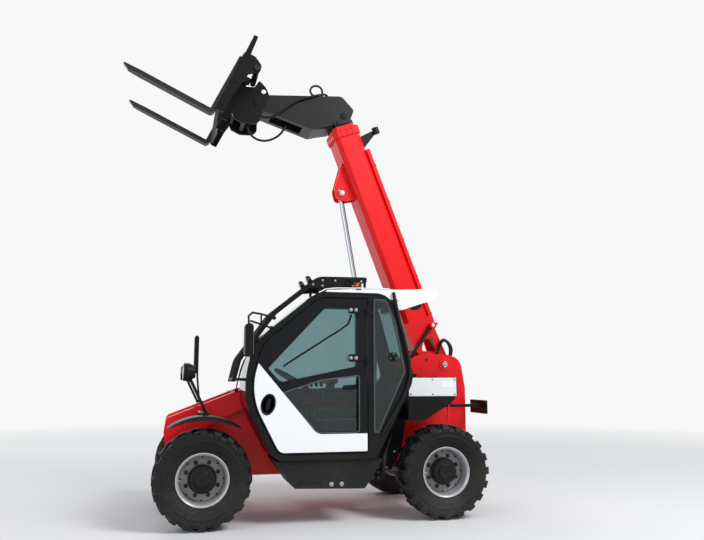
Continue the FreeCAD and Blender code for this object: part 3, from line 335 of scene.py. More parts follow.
# Mesh helpers
def finishPiece(name, mesh, body, look, angle=35, bevel=0.0, segments=2):
    bmesh.ops.recalc_face_normals(mesh, faces=mesh.faces)
    data = bpy.data.meshes.new(name)
    mesh.to_mesh(data)
    mesh.free()
    data.materials.append(looks[look])
    for face in data.polygons:
        face.use_smooth = True
    data.set_sharp_from_angle(angle=math.radians(angle))
    obj = bpy.data.objects.new(name, data)
    bpy.context.scene.collection.objects.link(obj)
    if bevel:
        edges = obj.modifiers.new("edges", "BEVEL")
        edges.width = bevel
        edges.segments = segments
        edges.limit_method = "ANGLE"
        edges.angle_limit = math.radians(40)
        edges.harden_normals = True
    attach(obj, body)
    return obj


def basisAlong(direction):
    return Vector(direction).normalized().to_track_quat("Z", "Y").to_matrix().to_4x4()


def addLathe(mesh, profile, place, direction, segments=48, closed=True):
    # profile rows are radius and distance along direction, in metres
    turn = Matrix.Translation(place) @ basisAlong(direction)
    rings = []
    for radius, along in profile:
        rings.append([mesh.verts.new(turn @ Vector((radius * math.cos(2 * math.pi * k / segments),
                                                    radius * math.sin(2 * math.pi * k / segments), along)))
                      for k in range(segments)])
    pairs = list(zip(rings, rings[1:])) + ([(rings[-1], rings[0])] if closed else [])
    for near, far in pairs:
        for k in range(segments):
            n = (k + 1) % segments
            mesh.faces.new((near[k], near[n], far[n], far[k]))
    if not closed:
        mesh.faces.new(rings[0][::-1])
        mesh.faces.new(rings[-1])


def addRod(mesh, start, end, radius, segments=20, chamfer=0.0):
    start, end = Vector(start), Vector(end)
    length = (end - start).length
    c = chamfer or min(radius, length) * 0.12
    addLathe(mesh, [(radius - c, 0), (radius, c), (radius, length - c), (radius - c, length)], start,
             end - start, segments, closed=False)


def addPrism(mesh, outline, depth):
    # outline is a list of corner points, depth the vector to the other face
    near = [mesh.verts.new(Vector(p)) for p in outline]
    far = [mesh.verts.new(Vector(p) + Vector(depth)) for p in outline]
    mesh.faces.new(near)
    mesh.faces.new(far[::-1])
    for k in range(len(near)):
        n = (k + 1) % len(near)
        mesh.faces.new((near[n], near[k], far[k], far[n]))


def addBlock(mesh, x, y, z):  # lowest and highest machine x, y and z
    addPrism(mesh, [at(x[0], y[0], z[0]), at(x[1], y[0], z[0]), at(x[1], y[0], z[1]), at(x[0], y[0], z[1])],
             (0, (y[1] - y[0]) / 1000, 0))


def addBolt(mesh, place, direction, size=0.009, washer=1.75):
    # Washer, six-sided head with a turned-down crown
    addLathe(mesh, [(size * washer, 0), (size * washer, size * 0.22), (size * 1.1, size * 0.24)], place, direction,
             20, closed=False)
    addLathe(mesh, [(size * 1.12, size * 0.2), (size * 1.12, size * 0.8), (size * 0.9, size * 0.98)], place,
             direction, 6, closed=False)


def boltPiece(name, places, direction, body, size=0.009, look="zinc"):
    mesh = bmesh.new()
    for place in places:
        addBolt(mesh, place, direction, size)
    return finishPiece(name, mesh, body, look, angle=30)


def hosePiece(name, points, radius, body, look="hoseRubber"):
    # A fitted hose: a smooth tube through the middle of its points' runs
    curve = bpy.data.curves.new(name, "CURVE")
    curve.dimensions = "3D"
    curve.bevel_depth = radius
    curve.bevel_resolution = 4
    curve.resolution_u = 10
    curve.use_fill_caps = True
    spline = curve.splines.new("NURBS")
    spline.points.add(len(points) - 1)
    for point, spot in zip(spline.points, points):
        point.co = (*spot, 1.0)
    spline.order_u = 3
    spline.use_endpoint_u = True
    curve.materials.append(looks[look])
    obj = bpy.data.objects.new(name, curve)
    bpy.context.scene.collection.objects.link(obj)
    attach(obj, body)
    return obj


# Wheels: tyre, rim and hub, each drawn about the wheel's centre with its outer face up the axis
tyre = {"lugs": 20, "tread": 0.4245, "base": 0.399, "bevel": 0.004,
        # distance from the middle, lug radius, foot radius, turn and half width as shares of half a pitch
        "lugRows": [(0.000, 0.4245, 0.390, 0.68, 0.34), (0.030, 0.4245, 0.390, 0.40, 0.37),
                    (0.068, 0.4245, 0.390, 0.00, 0.42), (0.104, 0.4235, 0.388, -0.06, 0.46),
                    (0.126, 0.4200, 0.380, -0.08, 0.50), (0.139, 0.4080, 0.370, -0.08, 0.50),
                    (0.1485, 0.3800, 0.352, -0.08, 0.45)],
        "carcass": [(0.2095, 0.111), (0.222, 0.1145), (0.232, 0.1165), (0.2345, 0.121), (0.244, 0.124),
                    (0.262, 0.134), (0.284, 0.1425), (0.305, 0.1475), (0.318, 0.1490), (0.320, 0.1505),
                    (0.325, 0.1505), (0.327, 0.1490), (0.342, 0.1485), (0.360, 0.1455), (0.364, 0.1460),
                    (0.368, 0.1455), (0.371, 0.1425), (0.384, 0.1370), (0.394, 0.1260), (0.399, 0.108),
                    (0.4005, 0.060)]}
rim = {"barrel": [(0.227, 0.1245), (0.2275, 0.1205), (0.2245, 0.1165), (0.219, 0.1135), (0.211, 0.1115),
                  (0.2085, 0.107), (0.2085, -0.107), (0.211, -0.1115), (0.219, -0.1135), (0.2245, -0.1165),
                  (0.2275, -0.1205), (0.227, -0.1245), (0.220, -0.1245), (0.2155, -0.120), (0.208, -0.1155),
                  (0.201, -0.108), (0.198, -0.060), (0.194, -0.010), (0.1935, 0.016), (0.196, 0.030),
                  (0.1985, 0.060), (0.1995, 0.096), (0.203, 0.108), (0.2095, 0.1155), (0.2150, 0.1210),
                  (0.220, 0.1245)],
       "disc": [(0.1945, 0.002), (0.1945, 0.010), (0.188, 0.0155), (0.176, 0.0170), (0.168, 0.0130),
                (0.160, 0.0125), (0.118, 0.0135), (0.118, 0.0040), (0.160, 0.0030), (0.172, 0.0050),
                (0.186, 0.0010)],
       "nuts": 8, "nutCircle": 0.146, "holes": 8, "holeCircle": 0.179}
hub = {"profile": [(0.078, -0.050), (0.078, 0.008), (0.114, 0.010), (0.1205, 0.015), (0.1225, 0.022),
                   (0.1225, 0.053), (0.1150, 0.0600), (0.1105, 0.066), (0.110, 0.086), (0.106, 0.0915),
                   (0.098, 0.0935), (0.072, 0.0935), (0.0665, 0.0965), (0.0655, 0.109), (0.0625, 0.1140),
                   (0.056, 0.1160), (0.046, 0.1135), (0.030, 0.1135)], "screws": 8, "screwCircle": 0.088}


def makeTyre(name, place, outward):
    mesh = bmesh.new()
    half = [(radius, y) for radius, y in tyre["carcass"]]
    profile = half + [(radius, -y) for radius, y in reversed(half)]
    addLathe(mesh, profile, (0, 0, 0), (0, 0, 1), 96)
    pitch = 2 * math.pi / tyre["lugs"]
    for side in (1, -1):
        for k in range(tyre["lugs"]):
            rings = []
            for y, top, foot, turn, share in tyre["lugRows"]:
                middle = (k + turn / 2 + (0 if side > 0 else 0.5)) * pitch
                ring = []
                for sign, radius, grow in ((-1, foot, 0.07), (-1, top, 0), (1, top, 0), (1, foot, 0.07)):
                    angle = middle + sign * (share + grow) * pitch / 2
                    ring.append(mesh.verts.new((radius * math.cos(angle), radius * math.sin(angle), side * y)))
                rings.append(ring)
            for near, far in zip(rings, rings[1:]):
                for i in range(3):
                    mesh.faces.new((near[i], near[i + 1], far[i + 1], far[i]))
            mesh.faces.new(rings[0][::-1])
            mesh.faces.new(rings[-1])
    return placeOnWheel(name, mesh, place, outward, "rubber", 50, tyre["bevel"])


def placeOnWheel(name, mesh, place, outward, look, angle, bevel, node=None):
    turn = Matrix(((1, 0, 0, 0), (0, 0, outward, 0), (0, 1, 0, 0), (0, 0, 0, 1)))
    bmesh.ops.transform(mesh, matrix=Matrix.Translation(place) @ turn, verts=mesh.verts)
    piece = finishPiece(name + "_look", mesh, "wheel_" + name.split("_", 1)[1], look, angle, bevel)
    if node != "":
        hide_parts(node or name)
    return piece


def makeWheel(end, side):
    place = at(layout["axleX"] * (1 if end == "front" else -1), layout["wheelY"] * side, layout["wheelZ"])
    label = end + ("_left" if side > 0 else "_right")
    makeTyre("tyre_" + label, place, side)
    mesh = bmesh.new()
    addLathe(mesh, rim["barrel"], (0, 0, 0), (0, 0, 1), 96)
    addRod(mesh, (0.203, 0.0, 0.096), (0.187, 0.0, 0.114), 0.005, 10)  # valve
    placeOnWheel("rim_" + label, mesh, place, side, "silverPaint", 30, 0)
    # Disc of the rim in a darker grey than the barrel: painted shade inside the recessed dish
    mesh = bmesh.new()
    addLathe(mesh, rim["disc"], (0, 0, 0), (0, 0, 1), 96)
    placeOnWheel("disc_" + label, mesh, place, side, "discShadeGrey", 30, 0, "")
    mesh = bmesh.new()
    for k in range(rim["nuts"]):
        a = 2 * math.pi * (k + 0.5) / rim["nuts"]
        spot = Vector((rim["nutCircle"] * math.cos(a), rim["nutCircle"] * math.sin(a), 0.0125))
        addLathe(mesh, [(0.019, 0), (0.0185, 0.003), (0.0125, 0.0035), (0.0115, 0.008)], spot, (0, 0, 1), 24,
                 closed=False)
        addLathe(mesh, [(0.0135, 0.0035), (0.0135, 0.015), (0.0115, 0.018), (0.0065, 0.0185), (0.0065, 0.027),
                        (0.005, 0.028)], spot, (0, 0, 1), 6, closed=False)
    placeOnWheel("nuts_" + label, mesh, place, side, "wornSteel", 30, 0, "")
    # Dark discs at the rim's vent holes: painted shade of the holes
    mesh = bmesh.new()
    for k in range(rim["holes"]):
        a = 2 * math.pi * k / rim["holes"]
        addLathe(mesh, [(0.0085, 0), (0.0085, 0.0012), (0.0060, 0.0014)],
                 Vector((rim["holeCircle"] * math.cos(a), rim["holeCircle"] * math.sin(a), 0.0163)), (0, 0, 1), 20,
                 closed=False)
    placeOnWheel("vents_" + label, mesh, place, side, "hoseRubber", 30, 0, "")
    mesh = bmesh.new()
    addLathe(mesh, hub["profile"], (0, 0, 0), (0, 0, 1), 64, closed=False)
    for k in range(hub["screws"]):
        a = 2 * math.pi * k / hub["screws"]
        addBolt(mesh, Vector((hub["screwCircle"] * math.cos(a), hub["screwCircle"] * math.sin(a), 0.0925)),
                (0, 0, 1), 0.006, 1.3)
    addBolt(mesh, Vector((0, 0, 0.1130)), (0, 0, 1), 0.010, 1.5)
    placeOnWheel("hub_" + label, mesh, place, side, "blackPaint", 30, 0)


for end in ("front", "rear"):
    for side in (1, -1):
        makeWheel(end, side)
print("wheels made")

# Cab outside: ribbed edge trim, door hardware, glass rubbers, belly tank details
cab = {"ribPath": [(-594, 2072), (-618, 1955), (-648, 1816), (-686, 1677), (-718, 1539), (-742, 1428),
                   (-748, 1309), (-716, 1191), (-664, 1082), (-597, 975), (-532, 869), (-470, 770)],
       "ribY": 904, "ribRadius": 0.017, "ribPitch": 0.029,
       "handle": (557, 1053), "handleSize": (0.064, 0.094), "handleTilt": 14,
       "latch": (-588, 1473), "outerY": 890, "hingeX": -340, "hingeZ": (1430, 1890)}


def makeRibbedTrim():
    # Corrugated sleeve over the cab's rear edge
    points = [at(x, cab["ribY"], z) for x, z in cab["ribPath"]]
    runs = [(b - a).length for a, b in zip(points, points[1:])]
    mesh = bmesh.new()
    count = int(sum(runs) / cab["ribPitch"])
    for k in range(count):
        along, i = k * cab["ribPitch"], 0
        while along > runs[i] and i < len(runs) - 1:
            along -= runs[i]
            i += 1
        direction = (points[i + 1] - points[i]).normalized()
        spot = points[i] + direction * along
        r, p = cab["ribRadius"], cab["ribPitch"]
        addLathe(mesh, [(r * 0.74, 0), (r * 0.96, p * 0.14), (r, p * 0.26), (r, p * 0.5), (r * 0.96, p * 0.62), (r * 0.74, p * 0.76), (r * 0.74, p * 1.06)],
                 spot, direction, 14, closed=False)
    finishPiece("cab_ribbed_trim", mesh, "chassis", "hoseRubber", 60)


def ovalPoints(centre, width, height, tilt, y, count=40):
    points = []
    for k in range(count):
        a = 2 * math.pi * k / count
        dx, dz = turned(width * math.cos(a), height * math.sin(a), tilt)
        points.append(at(centre[0], y, centre[1]) + Vector((dx, 0, dz)))
    return points


def makeDoorHardware():
    mesh = bmesh.new()
    width, height = cab["handleSize"]
    rings = []
    # Bezel, then a scooped pan, then the paddle
    for scale, y in ((1.0, 898), (1.0, 903), (0.90, 905.5), (0.82, 903), (0.74, 892), (0.60, 890)):
        rings.append([mesh.verts.new(p) for p in
                      ovalPoints(cab["handle"], width * scale, height * scale, cab["handleTilt"], y)])
    for near, far in zip(rings, rings[1:]):
        for k in range(len(near)):
            n = (k + 1) % len(near)
            mesh.faces.new((near[k], near[n], far[n], far[k]))
    mesh.faces.new(rings[-1])
    mesh.faces.new(rings[0][::-1])
    paddle = ovalPoints(cab["handle"], width * 0.30, height * 0.66, cab["handleTilt"], 892)
    addPrism(mesh, paddle, (0, 0.009, 0))
    finishPiece("door_handle", mesh, "door", "blackPlastic", 40)

    # Hinge blocks at the door's upper window, each with two bright bolts
    mesh = bmesh.new()
    for z in (1899, 1461):
        outline = [(-268, z - 34), (-176, z - 34), (-166, z - 22), (-166, z + 22), (-176, z + 34), (-268, z + 34)]
        addPrism(mesh, [at(x, 890.5, zz) for x, zz in outline], (0, 0.010, 0))
        addBlock(mesh, (-300, -262), (890.5, 897), (z - 22, z + 22))
    finishPiece("window_hinges", mesh, "door", "blackPlastic", 40, 0.002)
    boltPiece("window_hinge_bolts", [at(x, 900, z) for z in (1899, 1461) for x in (-236, -188)], (0, 1, 0), "door",
              0.009)

    # Rubber round each door window and the quarter window. The lower and quarter window rubbers are a lighter grey, a
    # painted highlight along the window edges.
    upper = [(60, 1912), (-240, 1912), (-240, 1381), (450, 1238), (572, 1365)]
    lower = [(432, 1150), (90, 1262), (-268, 1304), (-268, 800), (115, 800)]
    quarter = [(-410, 2000), (-520, 1995), (-607, 1800), (-700, 1340), (-445, 800), (-410, 800)]
    for name, rows, body, y in (("upper_window_rubber", upper, "door", 890),
                                ("lower_window_rubber", lower, "door", 890),
                                ("quarter_window_rubber", quarter, "chassis", 895)):
        beadPiece(name, [at(x, y, z) for x, z in rows], 0.006, body, "hoseRubber" if "upper" in name else "trimGrey")

    # Grab bar inside the upper window and the latch of the quarter window
    hosePiece("door_grab_bar", [at(-196, 872, 1852), at(-196, 850, 1835), at(-176, 846, 1778), at(-150, 846, 1752),
                                at(60, 846, 1618), at(395, 846, 1405), at(420, 868, 1385)], 0.009, "door",
              "blackPlastic")
    mesh = bmesh.new()
    x, z = cab["latch"]
    addLathe(mesh, [(0.046, 0), (0.046, 0.008), (0.040, 0.013), (0.022, 0.014), (0.018, 0.026), (0.010, 0.028)],
             at(x, 893, z), (0, 1, 0), 40, closed=False)
    finishPiece("quarter_window_latch", mesh, "chassis", "blackPlastic", 40)
    boltPiece("quarter_latch_screws", [at(x + dx, 904, z + dz) for dx, dz in ((28, -14), (-28, -14), (0, 30))],
              (0, 1, 0), "chassis", 0.005)


def beadPiece(name, corners, radius, body, look="hoseRubber"):
    # Round rubber bead along a closed outline with softened corners
    curve = bpy.data.curves.new(name, "CURVE")
    curve.dimensions = "3D"
    curve.bevel_depth = radius
    curve.bevel_resolution = 2
    curve.resolution_u = 8
    points = []
    for i, corner in enumerate(corners):
        last, following = corners[i - 1], corners[(i + 1) % len(corners)]
        for other in (last, following):
            reach = min(0.05, (other - corner).length * 0.3)
            points.append(corner + (other - corner).normalized() * reach)
            if other is last:
                points.append(corner)
    spline = curve.splines.new("NURBS")
    spline.points.add(len(points) - 1)
    for point, spot in zip(spline.points, points):
        point.co = (*spot, 1.0)
    spline.order_u = 3
    spline.use_cyclic_u = True
    curve.materials.append(looks[look])
    obj = bpy.data.objects.new(name, curve)
    bpy.context.scene.collection.objects.link(obj)
    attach(obj, body)
    return obj


makeRibbedTrim()
makeDoorHardware()
mesh = bmesh.new()  # step slot and plugs in the belly tank
# The step slot is a thin black plate on the tank's side: painted shade of the slot's opening
addPrism(mesh, [at(x, 860, z) for x, z in ((285, 366), (285, 394), (66, 388), (66, 360))], (0, 0.003, 0))
finishPiece("belly_slot_painted_shade", mesh, "chassis", "blackPlastic", 40, 0.002)
mesh = bmesh.new()
addPrism(mesh, [at(x, 863, z) for x, z in ((262, 371), (262, 386), (180, 384), (110, 381), (92, 368), (180, 372))],
         (0, 0.003, 0))
finishPiece("belly_slot_edge", mesh, "chassis", "darkFrame", 40, 0.001)
boltPiece("belly_bolts", [at(-20, 860, 353), at(-113, 860, 353)], (0, 1, 0), "chassis", 0.0115)
print("cab outside made")

# Lamps and mirrors
lamps = {"headX": 1285, "headY": 800, "headZ": 1334, "headRadius": 0.070}


def makeHeadlamps():
    for side, name in ((1, "left"), (-1, "right")):
        face = at(lamps["headX"], lamps["headY"] * side, lamps["headZ"])
        mesh = bmesh.new()
        r = lamps["headRadius"]
        addLathe(mesh, [(r, -0.004), (r * 1.10, -0.002), (r * 1.10, 0.006), (r, 0.009), (r * 0.93, 0.006),
                        (r * 0.93, -0.004)], face, (1, 0, 0), 40)
        finishPiece("headlamp_bezel_" + name, mesh, "chassis", "chrome", 40)
        mesh = bmesh.new()
        addLathe(mesh, [(r * 0.93, 0.000), (r * 0.90, 0.003), (r * 0.62, 0.008), (r * 0.3, 0.011),
                        (r * 0.05, 0.012)], face, (1, 0, 0), 40, closed=False)
        finishPiece("headlamp_lens_" + name, mesh, "chassis", "clearLens", 60)
        mesh = bmesh.new()
        addLathe(mesh, [(r * 0.9, -0.001), (r * 0.5, -0.0008), (r * 0.12, -0.0006)], face, (1, 0, 0), 32,
                 closed=False)
        finishPiece("headlamp_reflector_" + name, mesh, "chassis", "chrome", 60)
        # Pivot bracket and bolt where the pod meets its stalk
        mesh = bmesh.new()
        addRod(mesh, at(1226, lamps["headY"] * side - 22, 1262), at(1226, lamps["headY"] * side + 22, 1262), 0.017)
        finishPiece("headlamp_pivot_" + name, mesh, "chassis", "blackPaint", 40)


makeHeadlamps()
mesh = bmesh.new()
spot = onBoom(2605, 125, 262)
along = onBoom(2606, 125, 262) - spot
addLathe(mesh, [(0.0355, -0.002), (0.0385, 0.0), (0.0385, 0.006), (0.034, 0.008), (0.010, 0.009)], spot, along, 32,
         closed=False)
finishPiece("work_lamp_lens", mesh, "boom", "clearLens", 40)
# Rear lamp boards: a plate and a rim on each side, with reflectors and lenses set inside
mesh, bright = bmesh.new(), bmesh.new()
lenses = {"red": bmesh.new(), "amber": bmesh.new()}
for side, armEnd in ((1, -1192), (-1, -1290)):
    for x, y, z in (((-1596, -1590), (310, 690), (936, 1066)), ((-1608, -1595), (310, 690), (936, 944)),
                    ((-1608, -1595), (310, 690), (1058, 1066)), ((-1608, -1595), (310, 318), (943, 1059)),
                    ((-1608, -1595), (682, 690), (943, 1059)), ((-1606, -1595), (514, 520), (943, 1059)),
                    ((-1592, armEnd), (560, 585), (1000, 1030))):
        addBlock(mesh, x, tuple(sorted((y[0] * side, y[1] * side))), z)
    addBlock(bright, (-1599, -1596), tuple(sorted((319 * side, 681 * side))), (945, 1057))
    for look, y0, y1 in (("red", 320, 512), ("amber", 522, 680)):
        addBlock(lenses[look], (-1606, -1601), tuple(sorted((y0 * side, y1 * side))), (946, 1056))
        for k in range(9):
            y = y0 + (k + 0.5) * (y1 - y0) / 9
            addRod(lenses[look], at(-1606, y * side, 950), at(-1606, y * side, 1052), 0.0014, 6)
addBlock(mesh, (-1320, -1290), (-585, -283), (1000, 1030))
finishPiece("rear_lamp_cases", mesh, "chassis", "blackPlastic", 40, 0.0012)
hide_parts("rear_lamp_boards")
finishPiece("rear_lamp_mirrors", bright, "chassis", "chrome", 40)
for look, mesh in lenses.items():
    finishPiece("rear_lamp_" + look, mesh, "chassis", look + "Lens", 40, 0.001)
mesh = bmesh.new()
addPrism(mesh, [at(x, y, z) for x, y, z in ((714, 940, 1485), (714, 1046, 1485), (714, 1046, 1732), (714, 940, 1732))],
         (-0.003, 0, 0))
addPrism(mesh, [at(x, y, z) for x, y, z in ((1104, -1046, 1350), (1104, -894, 1350), (1104, -894, 1726),
                                            (1104, -1046, 1726))], (-0.003, 0, 0))
finishPiece("mirror_glass", mesh, "chassis", "chrome", 40, 0.001)
print("lamps and mirrors made")


# Boom: welds, wear-pad screws, hoses in the tray, pin plates
boom = {"seamN": (30, -160), "padScrews": (2612, 2668), "trayHoses": (113, 133), "hoseRadius": 0.0085,
        "clampPitch": 420}


def boomPrism(mesh, rows, y0, y1):  # rows of s and n in the boom's frame
    addPrism(mesh, [onBoom(s, y0, n) for s, n in rows], (0, (y1 - y0) / 1000, 0))


def makeBoomDetail():
    # Long weld beads low and high on both sides
    mesh = bmesh.new()
    for side in (1, -1):
        for n in boom["seamN"]:
            for k in range(46):
                s0 = 530 + k * 44.5
                addRod(mesh, onBoom(s0, side * 164.6, n), onBoom(s0 + 44.5, side * 164.6, n), 0.0022, 8, 0.0004)
    finishPiece("boom_weld_seams", mesh, "boom", "redPaint", 60)

    # Screws that hold the wear pads, in rows through the collar
    mesh = bmesh.new()
    for side in (1, -1):
        for s in boom["padScrews"]:
            for n in (-125, -65, -5):
                addBolt(mesh, onBoom(s, side * 179, n), (0, side, 0), 0.008, 1.6)
    up = onBoom(0, 0, 1) - onBoom(0, 0, 0)
    for s in boom["padScrews"]:
        for y in (-70, 0, 70):
            addBolt(mesh, onBoom(s, y, 89), up, 0.008, 1.6)
            addBolt(mesh, onBoom(s, y, -219), -up, 0.008, 1.6)
    finishPiece("wear_pad_screws", mesh, "boom", "redPaint", 30)

    # Hoses down the tray and the clamps over them
    for k, y in enumerate(boom["trayHoses"]):
        hosePiece("tray_hose_%d" % (k + 1), [onBoom(s, y, n) for s, n in
                  ((250, 62), (330, 88), (420, 88), (900, 87), (1500, 88), (2100, 87), (2385, 88))],
                  boom["hoseRadius"], "boom")
    mesh = bmesh.new()
    for k in range(5):
        s = 520 + k * boom["clampPitch"]
        boomPrism(mesh, [(s, 111), (s + 26, 111), (s + 26, 114), (s, 114)], 90, 156)
    finishPiece("tray_clamps", mesh, "boom", "blackPaint", 40, 0.001)
    boltPiece("tray_clamp_bolts", [onBoom(533 + k * boom["clampPitch"], 94 + 58 * i, 114) for k in range(5)
                                   for i in (0, 1)], up, "boom", 0.005)

    # Pivot pin caps with their keeper plates
    mesh = bmesh.new()
    for side in (1, -1):
        centre = onBoom(0, side * 297, 0)
        addLathe(mesh, [(0.030, 0.0), (0.030, 0.004), (0.027, 0.006), (0.024, 0.003), (0.013, 0.003)], centre,
                 (0, side, 0), 36, closed=False)
        addLathe(mesh, [(0.011, 0.0), (0.011, 0.008), (0.009, 0.0095)], centre, (0, side, 0), 6, closed=False)
    finishPiece("pivot_pin_caps", mesh, "chassis", "zinc", 30)
    mesh = bmesh.new()
    for side in (1, -1):
        addLathe(mesh, [(0.030, 0), (0.030, 0.003), (0.024, 0.005), (0.010, 0.0055)],
                 onBoom(2046, side * 76, -327), (0, side, 0), 32, closed=False)
        addBolt(mesh, onBoom(2082, side * 68, -345), (0, side, 0), 0.006)
    finishPiece("lift_pin_caps", mesh, "boom", "zinc", 30)

    # Level cylinder's pin head and its keeper
    mesh = bmesh.new()
    addLathe(mesh, [(0.017, 0.008), (0.017, 0.014), (0.014, 0.017), (0.005, 0.0175)], onBoom(413, 233, 50), (0, 1, 0),
             32, closed=False)
    finishPiece("level_pin_head", mesh, "boom", "aluminium", 30)
    mesh = bmesh.new()
    addLathe(mesh, [(0.036, 0), (0.036, 0.007), (0.033, 0.009), (0.012, 0.009)], onBoom(413, 233, 50), (0, 1, 0), 36,
             closed=False)
    addPrism(mesh, [onBoom(s, 236, n) for s, n in ((403, 74), (430, 74), (430, 104), (403, 104))], (0, 0.006, 0))
    finishPiece("level_pin_boss", mesh, "boom", "redPaint", 35)


def makeNeckDetail():
    mesh = bmesh.new()
    for side in (1, -1):
        y = side * 193
        spot = onBoom(layout["carriageS"], y, layout["carriageN"])
        addLathe(mesh, [(0.038, -0.004), (0.038, 0.002), (0.034, 0.005), (0.012, 0.0055)], spot, (0, side, 0), 36,
                 closed=False)
    finishPiece("carriage_pin_caps", mesh, "inner_boom", "blackPaint", 30)
    mesh = bmesh.new()
    for side in (1, -1):
        y = side * 165
        for s, n, r in ((2810, -40, 0.034), (2762, -130, 0.013), (2762, -172, 0.013)):
            addLathe(mesh, [(r, 0), (r, 0.006), (r * 0.88, 0.009), (r * 0.3, 0.0095)], onBoom(s, y, n),
                     (0, side, 0), 30, closed=False)
    finishPiece("neck_pin_heads", mesh, "inner_boom", "blackPaint", 30)
    # Doubler plate round the carriage pin
    mesh = bmesh.new()
    for side in (1, -1):
        spot = onBoom(layout["carriageS"], side * 165, layout["carriageN"])
        addLathe(mesh, [(0.064, 0), (0.064, 0.007), (0.0605, 0.009), (0.040, 0.009)], spot, (0, side, 0), 44,
                 closed=False)
    finishPiece("neck_doublers", mesh, "inner_boom", "blackPaint", 40)


makeBoomDetail()
makeNeckDetail()
print("boom details made")

# Hoses at the tail, along the neck and to the cylinders
hoses = {
    "tail_hose_1": ("chassis", 0.0125, [(-1300, 200, 1560), (-1316, 200, 1632), (-1340, 200, 1682), (-1392, 203, 1668),
                                        (-1444, 205, 1600), (-1440, 205, 1520), (-1400, 202, 1440)]),
    "tail_hose_2": ("chassis", 0.0125, [(-1270, 222, 1520), (-1305, 222, 1610), (-1330, 222, 1660), (-1372, 226, 1668),
                                        (-1415, 228, 1600), (-1412, 226, 1500), (-1376, 224, 1420)]),
}


necks = {
    "neck_hose_long": [(-100, 60, 4230), (-128, 105, 4246), (-95, 150, 4262), (20, 186, 4222), (120, 190, 4182),
                       (209, 188, 4150), (380, 186, 4014), (450, 184, 3955), (530, 182, 3928), (640, 184, 3956),
                       (720, 178, 4000), (760, 172, 4030)],
    "neck_hose_loop": [(-60, 100, 4240), (-72, 122, 4290), (-40, 132, 4345), (20, 136, 4352), (66, 140, 4318),
                       (74, 146, 4262), (40, 150, 4232)],
    "neck_hose_under": [(330, 172, 3862), (360, 172, 3800), (430, 158, 3730), (540, 140, 3690), (640, 132, 3712),
                        (706, 130, 3775), (726, 130, 3850)],
}


def makeHoses():
    for name, (body, radius, points) in hoses.items():
        hosePiece(name, [at(*p) for p in points], radius, body)
    # Neck: two supply lines from the boom's mouth to the tilt cylinder and carriage, looping out above and below
    for name, points in necks.items():
        hosePiece(name, [at(*p) for p in points], 0.0115, "inner_boom")
    # Steel lines on the cylinders
    for name, body, start, end, y, radius in (
            ("lift", "lift_barrel", (-750, 600), (-492, 2067), 0, 50), ("level", "level_barrel", (-550, 930), (-908, 1401), 212, 29)):
        a, b = at(start[0], y, start[1]), at(end[0], y, end[1])
        along = (b - a).normalized()
        out = Vector((-along.z, 0, along.x)) * (1 if name == "level" else -1)
        length = (b - a).length
        r = radius / 1000 + 0.009
        hosePiece(name + "_line", [a + along * 0.10 + out * (r - 0.008), a + along * 0.12 + out * (r + 0.004),
                                   a + along * 0.16 + out * r, a + along * (length * 0.5) + out * r,
                                   a + along * (length - 0.12) + out * r,
                                   a + along * (length - 0.09) + out * (r + 0.002),
                                   a + along * (length - 0.07) + out * (r - 0.012)], 0.006, body, "zinc")
        mesh = bmesh.new()
        for share in (0.3, 0.62):
            spot = a + along * length * share
            addLathe(mesh, [(radius / 1000 + 0.0006, 0), (radius / 1000 + 0.003, 0.001), (radius / 1000 + 0.003, 0.015),
                            (radius / 1000 + 0.0006, 0.016)], spot, along, 36)
        finishPiece(name + "_straps", mesh, body, "zinc", 30)


makeHoses()
print("hoses made")

# Hydraulic tank: side panel, plate, step strip and filler cap
rear = {"panel": [(-828, 1283), (-1316, 1283), (-1316, 1108), (-828, 1108)], "panelY": 620,
        "strip": [(-862, 1281), (-862, 1308), (-1166, 1308), (-1166, 1283)],
        "plate": [(-1158, 1188), (-1158, 1254), (-1282, 1254), (-1282, 1188)]}


def sidePrism(mesh, rows, y0, y1):
    addPrism(mesh, [at(x, y0, z) for x, z in rows], (0, (y1 - y0) / 1000, 0))


def makeTankDetail():
    mesh = bmesh.new()
    sidePrism(mesh, rear["panel"], 619, 624)
    finishPiece("tank_panel", mesh, "chassis", "aluminium", 40, 0.004)
    mesh = bmesh.new()
    sidePrism(mesh, rear["plate"], 623.5, 625)
    finishPiece("tank_bare_plate", mesh, "chassis", "whitePaint", 40, 0.0006)
    boltPiece("tank_panel_screws", [at(x, 624, z) for x in (-846, -1070, -1298) for z in (1266, 1126)], (0, 1, 0),
              "chassis", 0.006)
    mesh = bmesh.new()  # dark grip strip and filler on the tank's top
    addBlock(mesh, (-1166, -862), (560, 622), (1284, 1290))
    for k in range(12):
        addBlock(mesh, (-1160 + k * 25, -1150 + k * 25), (562, 620), (1289, 1293))
    finishPiece("tank_step_strip", mesh, "chassis", "blackPlastic", 40, 0.001)
    mesh = bmesh.new()
    addLathe(mesh, [(0.038, 0), (0.038, 0.012), (0.046, 0.013), (0.046, 0.034), (0.042, 0.038), (0.014, 0.039)],
             at(-930, 430, 1286), (0, 0, 1), 36, closed=False)
    finishPiece("tank_filler_cap", mesh, "chassis", "blackPlastic", 35)


makeTankDetail()
print("tank details made")

# Front fenders: thin crowned blades whose lip fades out at both ends
fender = {"radius": 0.5395, "inner": 640, "outer": 884, "from": 55, "to": 126.5, "lip": 0.026, "crown": 0.013,
          "thick": 0.006, "alongSteps": 44, "acrossSteps": 12}


